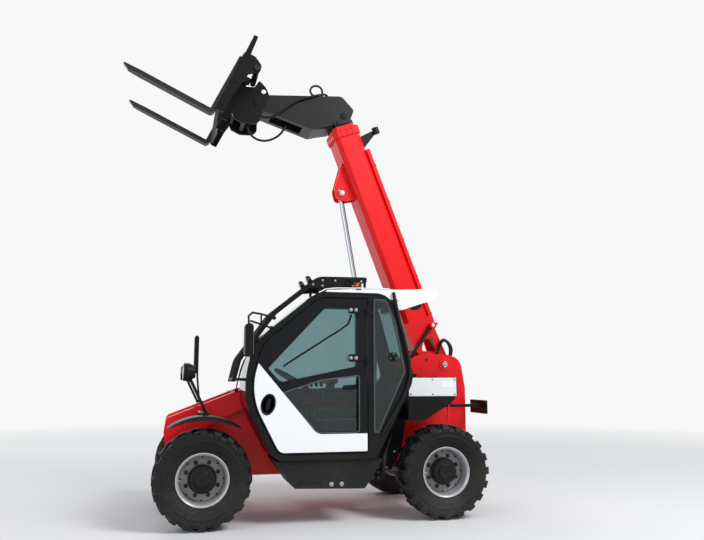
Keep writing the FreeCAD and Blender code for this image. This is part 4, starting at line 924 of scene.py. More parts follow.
def makeFenders():
    mesh = bmesh.new()
    for side in (1, -1):
        top, under = [], []
        for i in range(fender["alongSteps"] + 1):
            share = i / fender["alongSteps"]
            a = math.radians(fender["from"] + (fender["to"] - fender["from"]) * share)
            fade = math.sin(math.pi * share) ** 0.55 if 0 < share < 1 else 0.0
            narrow = 18 * (1 - fade)
            rows = ([], [])
            for j in range(fender["acrossSteps"] + 1):
                w = j / fender["acrossSteps"]
                y = fender["inner"] + narrow + (fender["outer"] - fender["inner"] - 2 * narrow) * w
                radius = fender["radius"] - fender["crown"] * (2 * w - 1) ** 2
                radius -= fender["lip"] * fade * max(0.0, (w - 0.88) / 0.12) ** 1.5
                for row, r in ((rows[0], radius), (rows[1], radius - fender["thick"] * (0.4 + 0.6 * fade))):
                    row.append(mesh.verts.new(at(layout["axleX"], y * side, layout["wheelZ"])
                                              + Vector((r * math.cos(a), 0, r * math.sin(a)))))
            top.append(rows[0])
            under.append(rows[1])
        for grid in (top, under):
            for near, far in zip(grid, grid[1:]):
                for j in range(len(near) - 1):
                    mesh.faces.new((near[j], near[j + 1], far[j + 1], far[j]))
        for near, far in zip(list(zip(top, under)), list(zip(top, under))[1:]):
            for j in (0, -1):
                mesh.faces.new((near[0][j], near[1][j], far[1][j], far[0][j]))
        for j in range(fender["acrossSteps"]):
            for i in (0, -1):
                mesh.faces.new((top[i][j], under[i][j], under[i][j + 1], top[i][j + 1]))
        # Bracket from the nose, folded down along its edges, with a clamp block over the blade
        y0, y1 = sorted((side * 340, side * 762))
        for x0, x1, z0, z1 in ((1056, 1144, 966, 980), (1056, 1062, 946, 968), (1138, 1144, 946, 968)):
            addBlock(mesh, (x0, x1), (y0, y1), (z0, z1))
        y0, y1 = sorted((side * 690, side * 790))
        addBlock(mesh, (1062, 1108), (y0, y1), (962, 984))
    piece = finishPiece("front_fender_blades", mesh, "chassis", "blackPlastic", 50, 0.0015)
    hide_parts("front_fenders")
    boltPiece("fender_bolts", [at(x, y * side, 981) for side in (1, -1) for x in (1072, 1128) for y in (430, 620, 665)],
              (0, 0, 1), "chassis", 0.008)


makeFenders()
print("fenders made")

# Guard: side plates that box in its top, work lamps, tie-down ring and mesh
guard = {"sidePlate": [(-352, 2200), (40, 2202), (110, 2188), (160, 2160), (212, 2122), (170, 2096), (90, 2104),
                       (-212, 2104), (-300, 2150)],
         "barY": (345, 795), "lampPlaces": ((158, 2190), (-60, 2232)), "meshPitch": 45}


def addTubeLine(mesh, points, radius, segments=12):
    for a, b in zip(points, points[1:]):
        addRod(mesh, a, b, radius, segments, radius * 0.3)


def makeGuardDetail():
    mesh = bmesh.new()
    for y0, y1 in ((800.5, 805), (335, 339.5)):
        sidePrism(mesh, guard["sidePlate"], y0, y1)
    finishPiece("guard_side_plates", mesh, "chassis", "blackPaint", 40, 0.0015)
    boltPiece("guard_plate_bolts", [at(x, 805, z) for x, z in ((-310, 2176), (-230, 2130), (-60, 2176), (60, 2176),
                                                               (60, 2126), (150, 2136))], (0, 1, 0), "chassis", 0.006)
    # Woven mesh over the roof between the bars
    mesh = bmesh.new()
    for x in range(-330, 80, guard["meshPitch"]):
        addRod(mesh, at(x, 348, 2206), at(x, 792, 2206), 0.0025, 8)
    for y in range(367, 790, guard["meshPitch"]):
        addRod(mesh, at(-340, y, 2209), at(84, y, 2209), 0.0025, 8)
    finishPiece("guard_mesh", mesh, "chassis", "blackPaint", 60)
    # Two work lamps at the guard's bend
    for name, y in (("left", 760), ("right", 380)):
        mesh = bmesh.new()
        spot = at(190, y, 2178)
        aim = Vector((0.93, 0, -0.36))
        addLathe(mesh, [(0.022, -0.030), (0.036, -0.022), (0.041, -0.004), (0.043, 0.006), (0.040, 0.010),
                        (0.036, 0.008)], spot, aim, 32, closed=False)
        addBlock(mesh, (146, 176), (y - 6, y + 6), (2150, 2184))
        finishPiece("guard_lamp_" + name, mesh, "chassis", "blackPlastic", 40)
        mesh = bmesh.new()
        addLathe(mesh, [(0.038, 0.006), (0.036, 0.0115), (0.020, 0.014), (0.004, 0.0145)], spot, aim, 32, closed=False)
        finishPiece("guard_lamp_lens_" + name, mesh, "chassis", "clearLens", 60)
    # Lifting ring on the outer plate
    mesh = bmesh.new()
    ring = [at(-184 + 24 * math.cos(2 * math.pi * k / 28), 812, 2160 + 30 * math.sin(2 * math.pi * k / 28))
            for k in range(29)]
    addTubeLine(mesh, ring, 0.006)
    addRod(mesh, at(-184, 804, 2190), at(-184, 818, 2190), 0.011)
    finishPiece("guard_ring", mesh, "chassis", "blackPaint", 60)


makeGuardDetail()
print("guard details made")

# Roof: gutter line, hood seam, beacon foot
mesh = bmesh.new()
gutter = [(112, 2052), (48, 2086), (-60, 2098), (-340, 2104), (-560, 2104)]
addTubeLine(mesh, [at(x, 889, z) for x, z in gutter], 0.0055, 10)
finishPiece("roof_gutter", mesh, "chassis", "whitePaint", 60)
mesh = bmesh.new()
addLathe(mesh, [(0.046, 0), (0.046, 0.008), (0.040, 0.014), (0.0385, 0.030), (0.0365, 0.032), (0.0365, 0.0)],
         at(-262, 850, 2088), (0, 0, 1), 40, closed=False)
finishPiece("beacon_foot", mesh, "chassis", "blackPlastic", 40)
mesh = bmesh.new()
addLathe(mesh, [(0.0362, 0.0), (0.0380, 0.002), (0.0380, 0.006), (0.0365, 0.008), (0.0372, 0.012), (0.0372, 0.040),
                (0.0345, 0.050), (0.0270, 0.0555), (0.0120, 0.0575)], at(-262, 850, 2101), (0, 0, 1), 48, closed=False)
piece = finishPiece("beacon_dome", mesh, "chassis", "amberLens", 50)
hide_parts("beacon")
mesh = bmesh.new()
addLathe(mesh, [(0.012, 0), (0.012, 0.030), (0.006, 0.042)], at(-262, 850, 2104), (0, 0, 1), 20, closed=False)
finishPiece("beacon_bulb", mesh, "chassis", "clearLens", 50)
mesh = bmesh.new()
for y in (420, 520, 620, 720):
    addBlock(mesh, (-1020, -660), (y, y + 12), (2098, 2103))
finishPiece("roof_hood_ribs", mesh, "chassis", "whitePaint", 40, 0.003)
print("roof details made")

# Left side behind the cab: a black panel over the frame plate as painted shade, valve block with hoses, tower details
def makeLeftSide():
    # Black panel with bolts on the frame plate behind the cab: painted shade over that part of the frame
    mesh = bmesh.new()
    sidePrism(mesh, [(-420, 1034), (-800, 1034), (-905, 1000), (-905, 870), (-850, 560), (-750, 392), (-420, 392)],
              283.5, 289)
    finishPiece("side_shade_panel", mesh, "chassis", "blackPaint", 40, 0.001)
    boltPiece("shade_panel_bolts", [at(x, 289, z) for x, z in ((-440, 410), (-700, 410), (-780, 560), (-860, 900),
                                                                (-860, 980), (-640, 1015), (-440, 1015))],
              (0, 1, 0), "chassis", 0.008)
    mesh = bmesh.new()
    addBlock(mesh, (-596, -520), (289, 470), (318, 520))
    addBlock(mesh, (-590, -526), (470, 492), (330, 508))
    finishPiece("valve_block", mesh, "chassis", "darkFrame", 40, 0.004)
    mesh = bmesh.new()
    for z in (350, 400, 450, 490):
        addRod(mesh, at(-558, 492, z), at(-558, 522, z), 0.015, 6, 0.002)
        addRod(mesh, at(-558, 520, z), at(-558, 536, z), 0.011, 16)
    finishPiece("valve_fittings", mesh, "chassis", "zinc", 30)
    for k, z in enumerate((350, 400, 450, 490)):
        hosePiece("valve_hose_%d" % (k + 1), [at(-558, 530, z), at(-558, 566, z), at(-566, 590, z + 10),
                                              at(-600, 560, z + 60 + 8 * k), at(-640 - 6 * k, 470, 600 + 12 * k),
                                              at(-690 - 10 * k, 380, 700 + 14 * k), at(-740, 300, 780 + 14 * k)],
                  0.010, "chassis")
    # Ledge along the rim of the tower's cut-out, near the boom's foot
    mesh = bmesh.new()
    sidePrism(mesh, [(-1160, 1246), (-1240, 1246), (-1240, 1262), (-1160, 1262)], 283.5, 287)
    finishPiece("tower_ledge", mesh, "chassis", "redPaint", 40, 0.001)
    # Strut from the tank's shelf down to the rear lamp's arm
    mesh = bmesh.new()
    addRod(mesh, at(-1242, 600, 1030), at(-1224, 600, 872), 0.010, 14)
    addBlock(mesh, (-1262, -1222), (585, 612), (1026, 1042))
    finishPiece("lamp_arm_strut", mesh, "chassis", "redPaint", 40)
    # Dark oval disc on each side of the boom's tail: painted shade of an oval opening
    mesh = bmesh.new()
    for side in (1, -1):
        points = []
        for k in range(36):
            a = 2 * math.pi * k / 36
            points.append(onBoom(690 + 70 * math.cos(a), side * 165.4, -25 + 84 * math.sin(a)))
        addPrism(mesh, points, (0, side * 0.0012, 0))
    finishPiece("tail_oval_opening_shade", mesh, "boom", "hoseRubber", 40)


makeLeftSide()
print("left side made")


# Seat: two padded cushions blown up as cloth, sewn channels, piping and a bellows foot
seat = {"voxel": 0.006, "pressure": 4.0, "cap": 0.014, "steps": 20, "channelDepth": 0.006, "channelWidth": 0.010,
        # side outline rows x, z; width from y to y; lines of the sewn channels as x, z pairs
        "cushion": {"outline": [(-316, 918), (110, 916), (136, 950), (132, 985), (100, 1008), (-300, 990)],
                    "y": (402, 798), "channels": [(-200, None), (-90, None), (20, None)], "piping": 0.40},
        "back": {"outline": [(-316, 1008), (-338, 1130), (-362, 1300), (-404, 1530), (-430, 1548), (-466, 1530),
                             (-456, 1300), (-440, 1008), (-392, 930), (-350, 930)],
                 "y": (412, 788), "channels": [(None, 1130), (None, 1240), (None, 1350), (None, 1455)], "piping": 0.5}}


def pointsOf(obj):
    return [v.co.copy() for v in obj.data.vertices]


def makeCushion(name, facts):
    mesh = bmesh.new()
    low, high = facts["y"]
    middle = (low + high) / 2
    rings = []
    for share in (0.0, 0.04, 0.14, 0.5, 0.86, 0.96, 1.0):  # pulled in towards both sides
        y = low + (high - low) * share
        inset = {0.0: 0.90, 0.04: 0.965, 0.14: 1.0, 0.5: 1.0, 0.86: 1.0, 0.96: 0.965, 1.0: 0.90}[share]
        cx = sum(x for x, z in facts["outline"]) / len(facts["outline"])
        cz = sum(z for x, z in facts["outline"]) / len(facts["outline"])
        rings.append([mesh.verts.new(at(cx + (x - cx) * inset, y, cz + (z - cz) * inset)) for x, z in facts["outline"]])
    for near, far in zip(rings, rings[1:]):
        for k in range(len(near)):
            n = (k + 1) % len(near)
            mesh.faces.new((near[k], near[n], far[n], far[k]))
    mesh.faces.new(rings[0][::-1])
    mesh.faces.new(rings[-1])
    obj = finishPiece(name, mesh, "chassis", "seatCloth", 60)
    bpy.context.view_layer.objects.active = obj
    remesh = obj.modifiers.new("remesh", "REMESH")
    remesh.mode = "VOXEL"
    remesh.voxel_size = seat["voxel"]
    applyModifier(obj, "remesh")
    rest = pointsOf(obj)
    cloth = obj.modifiers.new("cloth", "CLOTH")
    cloth.settings.use_pressure = True
    cloth.settings.uniform_pressure_force = seat["pressure"]
    cloth.settings.effector_weights.gravity = 0.0
    cloth.settings.quality = 4
    cloth.point_cache.frame_start, cloth.point_cache.frame_end = 1, seat["steps"]
    for step in range(1, seat["steps"] + 1):
        bpy.context.scene.frame_set(step)
    evaluated = obj.evaluated_get(bpy.context.evaluated_depsgraph_get())
    moved = [v.co.copy() for v in evaluated.data.vertices]
    obj.modifiers.remove(cloth)
    bpy.context.scene.frame_set(1)
    for vertex, old, new in zip(obj.data.vertices, rest, moved):
        step = new - old
        vertex.co = old + step * min(1.0, seat["cap"] / step.length if step.length else 1.0)
    # Sewn channels across the panel, then its seams drawn in
    normals = [v.normal.copy() for v in obj.data.vertices]
    for vertex, normal in zip(obj.data.vertices, normals):
        x = vertex.co.x * 1000 + layout["boxCentreX"]
        z = vertex.co.z * 1000
        sink = 0.0
        for cx, cz in facts["channels"]:
            off = (x - cx) if cx is not None else (z - cz)
            sink = max(sink, math.exp(-(off / (1000 * seat["channelWidth"])) ** 2))
        y = vertex.co.y * 1000
        bolster = math.exp(-((abs(y - middle) - 118) / 9) ** 2)
        inside = 1.0 if abs(y - middle) < 118 else 0.0
        vertex.co -= normal * seat["channelDepth"] * max(sink * inside, bolster)
    smooth = obj.modifiers.new("smooth", "SUBSURF")
    smooth.levels = smooth.render_levels = 1
    applyModifier(obj, "smooth")
    for face in obj.data.polygons:
        face.use_smooth = True
    return obj


def applyModifier(obj, name):
    evaluated = obj.evaluated_get(bpy.context.evaluated_depsgraph_get())
    data = bpy.data.meshes.new_from_object(evaluated)
    obj.modifiers.remove(obj.modifiers[name])
    old = obj.data
    obj.data = data
    if not data.materials:
        data.materials.append(looks["seatCloth"])
    bpy.data.meshes.remove(old)


cushions = [makeCushion("seat_cushion", seat["cushion"]), makeCushion("seat_back", seat["back"])]
for cushion in cushions:
    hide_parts("seat")
for name, facts in (("seat_cushion_piping", seat["cushion"]), ("seat_back_piping", seat["back"])):
    for label, y in (("left", facts["y"][1] - 14), ("right", facts["y"][0] + 14)):
        beadPiece(name + "_" + label, [at(x, y, z) for x, z in facts["outline"]], 0.005, "chassis", "trimGrey")


def makeSeatFoot():
    # Bellows with lit folds, slide rails and the armrest
    mesh = bmesh.new()
    x0, x1, y0, y1 = -292, 22, 458, 752
    levels = 7
    rows = []
    for k in range(levels * 2 + 1):
        z = 764 + k * 138 / (levels * 2)
        grow = 12 if k % 2 else 0
        rows.append([mesh.verts.new(at(x, y, z)) for x, y in (
            (x0 - grow, y0 - grow), (x1 + grow, y0 - grow), (x1 + grow, y1 + grow), (x0 - grow, y1 + grow))])
    for near, far in zip(rows, rows[1:]):
        for k in range(4):
            n = (k + 1) % 4
            mesh.faces.new((near[k], near[n], far[n], far[k]))
    finishPiece("seat_bellows", mesh, "chassis", "trimGrey", 20, 0.002)
    mesh = bmesh.new()
    for y in (470, 740):
        addBlock(mesh, (-320, 60), (y - 14, y + 14), (900, 914))
        addBlock(mesh, (-340, 80), (y - 9, y + 9), (896, 904))
    finishPiece("seat_rails", mesh, "chassis", "zinc", 40, 0.001)
    mesh = bmesh.new()
    addPrism(mesh, [at(x, 816, z) for x, z in ((-420, 1190), (-140, 1172), (-122, 1190), (-134, 1216), (-420, 1236))],
             (0, 0.040, 0))
    addBlock(mesh, (-440, -400), (800, 830), (1020, 1215))
    finishPiece("seat_armrest", mesh, "chassis", "blackPlastic", 40, 0.006)


makeSeatFoot()
print("seat made")

# Driver's place: wheel with spokes and knob, levers, panel, pedals, mat, headlining and console trim
cabin = {"wheel": (300, 590, 1270), "wheelTilt": 30, "wheelRadius": 175, "gripRadius": 0.015,
         "levers": ((-60, 372, 1060), (-10, 372, 1060), (40, 372, 1060)), "dials": ((0, 34), (-62, 22), (62, 22))}


def onWheelPlane(u, y, n):  # u across the wheel towards the driver, n along its column
    dx, dz = turned(u, n, cabin["wheelTilt"])
    x, yc, z = cabin["wheel"]
    return at(x + dx, yc + y, z + dz)


def makeDriversPlace():
    mesh = bmesh.new()
    count, sides, radius = 60, 12, cabin["wheelRadius"] / 1000
    centre = onWheelPlane(0, 0, 0)
    axis = (onWheelPlane(0, 0, 1) - centre).normalized()
    first = (onWheelPlane(1, 0, 0) - centre).normalized()
    second = Vector((0, 1, 0))
    rings = []
    for k in range(count):
        a = 2 * math.pi * k / count
        out = first * math.cos(a) + second * math.sin(a)
        ring = []
        for j in range(sides):
            b = 2 * math.pi * j / sides
            grip = cabin["gripRadius"] * (1 + 0.05 * math.cos(12 * a))
            ring.append(mesh.verts.new(centre + out * (radius + grip * math.cos(b)) + axis * grip * math.sin(b)))
        rings.append(ring)
    for k in range(count):
        near, far = rings[k], rings[(k + 1) % count]
        for j in range(sides):
            n = (j + 1) % sides
            mesh.faces.new((near[j], near[n], far[n], far[j]))
    for angle in (90, 210, 330):
        a = math.radians(angle)
        out = first * math.cos(a) + second * math.sin(a)
        side = axis.cross(out)
        start, end = centre + out * 0.034 - axis * 0.008, centre + out * (radius - 0.004)
        addPrism(mesh, [start - side * 0.016, end - side * 0.011, end + side * 0.011, start + side * 0.016],
                 axis * 0.006)
    addLathe(mesh, [(0.042, -0.020), (0.044, 0.000), (0.040, 0.010), (0.028, 0.015), (0.008, 0.016)], centre, axis, 36,
             closed=False)
    knob = centre + (first * math.cos(2.4) + second * math.sin(2.4)) * radius
    addLathe(mesh, [(0.008, 0.010), (0.008, 0.030), (0.019, 0.036), (0.022, 0.050), (0.018, 0.066), (0.006, 0.072)],
             knob, axis, 24, closed=False)
    finishPiece("steering_wheel_rim", mesh, "chassis", "blackPlastic", 45)

    mesh = bmesh.new()
    for x, y, z in cabin["levers"]:
        addRod(mesh, at(x, y - 10, z), at(x + 34, y - 10, z + 150), 0.006, 14)
    finishPiece("lever_stems", mesh, "chassis", "chrome", 60)
    mesh = bmesh.new()
    for k, (x, y, z) in enumerate(cabin["levers"]):
        spot, tip = at(x + 32, y - 10, z + 140), at(x + 46, y - 10, z + 200)
        addLathe(mesh, [(0.009, 0), (0.015, 0.008), (0.018, 0.028), (0.019, 0.044), (0.014, 0.056), (0.004, 0.060)],
                 spot, tip - spot, 24, closed=False)
        addLathe(mesh, [(0.024, 0.0), (0.022, 0.006), (0.017, 0.010), (0.017, 0.014), (0.013, 0.018),
                        (0.013, 0.022), (0.009, 0.028)], at(x, y - 10, z - 1), (0.22, 0, 1), 28, closed=False)
    finishPiece("lever_grips", mesh, "chassis", "blackPlastic", 40)

    # Instrument hood with dials on the column, facing the seat
    mesh = bmesh.new()
    addPrism(mesh, [at(x, 490, z) for x, z in ((470, 1176), (404, 1204), (392, 1236), (420, 1262), (500, 1236),
                                               (536, 1150))], (0, 0.200, 0))
    finishPiece("instrument_hood", mesh, "chassis", "blackPlastic", 35, 0.008)
    mesh = bmesh.new()
    face = Vector((-0.93, 0, 0.36)).normalized()
    for dy, dz in cabin["dials"]:
        spot = at(396, 590 + dy, 1212) + Vector((0, 0, (dz - 22) / 2000))
        addLathe(mesh, [(0.026, 0), (0.0275, 0.003), (0.0275, 0.007), (0.024, 0.0085), (0.023, 0.005), (0.002, 0.0048)],
                 spot, face, 32, closed=False)
    finishPiece("instrument_dials", mesh, "chassis", "trimGrey", 40)
    mesh = bmesh.new()
    for x, y, w in ((486, 520, 26), (480, 640, 34), (480, 700, 26)):
        addPrism(mesh, [at(x + dx, y - w, 640 + dz) for dx, dz in ((0, 0), (24, 58), (30, 56), (8, -4))],
                 (0, w / 500, 0))
        addRod(mesh, at(x + 22, y, 668), at(x + 70, y, 760), 0.007, 12)
    finishPiece("pedals", mesh, "chassis", "blackPaint", 40, 0.003)
    mesh = bmesh.new()
    addBlock(mesh, (70, 470), (400, 800), (611, 618))
    for k in range(18):
        addBlock(mesh, (82 + k * 21, 92 + k * 21), (410, 790), (617, 621))
    finishPiece("floor_mat", mesh, "chassis", "hoseRubber", 40, 0.001)
    # Headlining inside
    mesh = bmesh.new()
    addPrism(mesh, [at(x, 352, z) for x, z in ((60, 2006), (-500, 2010), (-500, 1998), (40, 1990))], (0, 0.480, 0))
    finishPiece("headlining", mesh, "chassis", "trimGrey", 40, 0.004)
    mesh = bmesh.new()
    addPrism(mesh, [at(x, 350, z) for x, z in ((-388, 1064), (150, 1064), (164, 1070), (150, 1078), (-380, 1078))],
             (0, 0.034, 0))
    finishPiece("console_trim", mesh, "chassis", "redPaint", 40, 0.003)


makeDriversPlace()
print("driver's place made")


# Engine cover: louvres, latch, intake cap and rear grille
hood = {"louvreX": (-470, -150), "louvreZ": (690, 985), "louvreCount": 11, "latchX": (-40, 230), "intake": (-330, -640)}


def makeHoodDetail():
    mesh = bmesh.new()
    x0, x1 = hood["louvreX"]
    z0, z1 = hood["louvreZ"]
    pitch = (z1 - z0) / hood["louvreCount"]
    for k in range(hood["louvreCount"]):
        z = z0 + k * pitch
        addPrism(mesh, [at(x0, -880, z), at(x0, -889, z + 2), at(x0, -889, z + 5), at(x0, -880, z + pitch * 0.72)],
                 ((x1 - x0) / 1000, 0, 0))
    finishPiece("hood_louvres", mesh, "engine_cover", "redPaint", 40, 0.0012)
    # Dark strips in the gaps between the louvres: painted shade of the slots
    mesh = bmesh.new()
    for k in range(hood["louvreCount"]):
        z = z0 + k * pitch
        addBlock(mesh, (x0 + 6, x1 - 6), (-881.2, -879.5), (z - 6, z + 1.5))
    finishPiece("hood_louvre_shade_strips", mesh, "engine_cover", "hoseRubber", 40)
    mesh = bmesh.new()  # raised rib that frames the louvres
    rows = [at(x, -881, z) for x, z in ((x0 - 26, z0 - 26), (x1 + 26, z0 - 26), (x1 + 26, z1 + 22), (x0 - 26, z1 + 22),
                                        (x0 - 26, z0 - 26))]
    addTubeLine(mesh, rows, 0.004, 10)
    finishPiece("hood_frame_rib", mesh, "engine_cover", "redPaint", 60)
    mesh = bmesh.new()
    for x in hood["latchX"]:
        addLathe(mesh, [(0.030, 0), (0.030, 0.003), (0.026, 0.005), (0.024, 0.002), (0.012, 0.002), (0.011, 0.006),
                        (0.004, 0.0065)], at(x, -880, 610), (0, -1, 0), 32, closed=False)
        addPrism(mesh, [at(x + dx, -882, 610 + dz) for dx, dz in ((-18, -4), (18, -4), (18, 4), (-18, 4))],
                 (0, -0.007, 0))
    finishPiece("hood_latches", mesh, "engine_cover", "blackPlastic", 35)
    mesh = bmesh.new()
    x, y = hood["intake"]
    addLathe(mesh, [(0.052, -0.010), (0.052, 0.036), (0.048, 0.040), (0.048, 0.050), (0.078, 0.056), (0.084, 0.066),
                    (0.084, 0.096), (0.078, 0.112), (0.052, 0.124), (0.020, 0.128)], at(x, y, 1164), (0, 0, 1), 48,
             closed=False)
    for k in range(24):
        a = 2 * math.pi * k / 24
        spot = at(x, y, 1226) + Vector((0.0835 * math.cos(a), 0.0835 * math.sin(a), 0))
        addRod(mesh, spot, spot + Vector((0, 0, 0.036)), 0.0035, 8)
    finishPiece("hood_intake_cap", mesh, "engine_cover", "blackPlastic", 40)
    mesh = bmesh.new()
    for k in range(15):
        y = -840 + k * 34
        addBlock(mesh, (-604, -600), (y, y + 8), (640, 1040))
    for z in (640, 770, 900, 1032):
        addBlock(mesh, (-606, -600), (-846, -356), (z, z + 9))
    finishPiece("hood_rear_grille", mesh, "engine_cover", "blackPaint", 40, 0.001)
    mesh = bmesh.new()  # exhaust outlet under the cover's rear
    addRod(mesh, at(-470, -560, 640), at(-470, -560, 470), 0.030, 28)
    addLathe(mesh, [(0.030, 0), (0.030, 0.050), (0.028, 0.090), (0.025, 0.090), (0.026, 0.050), (0.026, 0.0)],
             at(-470, -560, 474), (-0.5, -0.3, -0.82), 28)
    finishPiece("exhaust_outlet", mesh, "chassis", "castIron", 45)


makeHoodDetail()
print("engine cover made")

# Nose: front grille, cap, screws along its folds
def makeNoseDetail():
    mesh = bmesh.new()
    for k in range(9):
        y = -184 + k * 46
        addBlock(mesh, (1397, 1403), (y - 3, y + 3), (640, 770))
    for z in (640, 684, 727, 766):
        addBlock(mesh, (1398, 1404), (-190, 190), (z - 3, z + 3))
    finishPiece("nose_grille", mesh, "chassis", "blackPaint", 40, 0.0008)
    mesh = bmesh.new()
    up = Vector((0.396, 0, 0.918))
    for side in (1, -1):
        for x, z in ((820, 1151), (1010, 1066), (1190, 985), (1350, 913)):
            for y in (222, 322):
                addBolt(mesh, at(x, y * side, z), up, 0.006)
    finishPiece("nose_screws", mesh, "chassis", "zinc", 30)
    mesh = bmesh.new()
    addLathe(mesh, [(0.026, -0.006), (0.026, 0.012), (0.022, 0.018), (0.008, 0.020)], at(1150, 272, 1004), up, 32,
             closed=False)
    finishPiece("nose_cap", mesh, "chassis", "blackPlastic", 40)
    mesh = bmesh.new()  # tie-down eyes on the frame's front
    for side in (1, -1):
        ring = [at(1276 + 26 * math.cos(a), side * 296, 636 + 26 * math.sin(a))
                for a in [2 * math.pi * k / 24 for k in range(25)]]
        addTubeLine(mesh, ring, 0.008)
    finishPiece("tie_down_eyes", mesh, "chassis", "blackPaint", 60)


def makeRearDetail():
    mesh = bmesh.new()
    for k in range(13):
        z = 720 + k * 24
        addPrism(mesh, [at(-1545, -180, z), at(-1552, -180, z + 2), at(-1552, -180, z + 6), at(-1545, -180, z + 17)],
                 (0, 0.36, 0))
    addTubeLine(mesh, [at(-1547, y, z) for y, z in ((-196, 706), (196, 706), (196, 1042), (-196, 1042), (-196, 706))],
                0.005, 10)
    finishPiece("rear_louvres", mesh, "chassis", "blackPaint", 40, 0.0008)
    mesh = bmesh.new()
    addRod(mesh, at(-1580, 0, 600), at(-1580, 0, 745), 0.0155, 24)
    addLathe(mesh, [(0.024, 0), (0.024, 0.012), (0.018, 0.015)], at(-1580, 0, 736), (0, 0, 1), 28, closed=False)
    handle = [at(-1580 + 0, 42 * math.cos(a), 762 + 34 * math.sin(a)) for a in
              [math.pi * 1.15 - math.pi * 1.3 * k / 16 for k in range(17)]]
    addTubeLine(mesh, [at(-1580, 0, 748)] + handle[::-1] + [at(-1580, 0, 748)], 0.005, 10)
    finishPiece("tow_pin", mesh, "chassis", "zinc", 40)
    # Right side of the frame: inspection covers and bolts
    mesh = bmesh.new()
    for x, z in ((-1330, 1180), (-760, 760), (620, 760)):
        addLathe(mesh, [(0.070, 0), (0.070, 0.005), (0.064, 0.008), (0.020, 0.0085)], at(x, -283, z), (0, -1, 0), 44,
                 closed=False)
    finishPiece("inspection_covers", mesh, "chassis", "redPaint", 35)
    boltPiece("inspection_bolts", [at(x + 56 * math.cos(a), -288, z + 56 * math.sin(a))
                                   for x, z in ((-1330, 1180), (-760, 760), (620, 760))
                                   for a in [2 * math.pi * k / 6 for k in range(6)]], (0, -1, 0), "chassis", 0.006)


def makeAxleDetail():
    mesh = bmesh.new()
    bolts = bmesh.new()
    for x, way in ((1100, 1), (-1100, -1)):
        centre, axis = at(x, -40, 425), Vector((way, 0, 0))
        addLathe(mesh, [(0.116, 0.050), (0.120, 0.054), (0.120, 0.070), (0.112, 0.076), (0.098, 0.084),
                        (0.070, 0.108), (0.040, 0.124), (0.012, 0.130)], centre, axis, 52, closed=False)
        for k in range(10):
            a = 2 * math.pi * k / 10
            addBolt(bolts, centre + Vector((way * 0.0765, 0.107 * math.cos(a), 0.107 * math.sin(a))), axis, 0.006)
        addLathe(mesh, [(0.014, 0), (0.014, 0.006), (0.010, 0.008)], centre + Vector((way * 0.120, 0, -0.035)),
                 Vector((way, 0, -0.5)), 6, closed=False)
        for side in (1, -1):
            for dz in (-1, 1):
                place = at(x, side * 600, 425 + dz * 118)
                addLathe(mesh, [(0.044, 0), (0.044, 0.006), (0.038, 0.010), (0.010, 0.011)], place, (0, 0, dz), 32,
                         closed=False)
            for dx in (-52, 52):
                for y in (240, 262, 300):
                    addBolt(bolts, at(x + dx, side * y, 546), (0, 0, -1), 0.009)
    finishPiece("axle_covers", mesh, "chassis", "darkFrame", 35)
    finishPiece("axle_bolts", bolts, "chassis", "zinc", 30)
    mesh = bmesh.new()
    for x, way in ((910, 1), (-910, -1)):
        centre = at(x, -40, 425)
        addLathe(mesh, [(0.044, -0.012), (0.046, -0.008), (0.046, 0.004), (0.042, 0.008), (0.032, 0.012)],
                 centre, (way, 0, 0), 32, closed=False)
        for k in range(4):
            a = math.pi / 2 * k + 0.4
            out = Vector((0, math.cos(a), math.sin(a)))
            addRod(mesh, centre - Vector((way * 0.03, 0, 0)) + out * 0.012, centre - Vector((way * 0.03, 0, 0)) + out * 0.050,
                   0.011, 14)
    finishPiece("shaft_joints", mesh, "chassis", "castIron", 40)


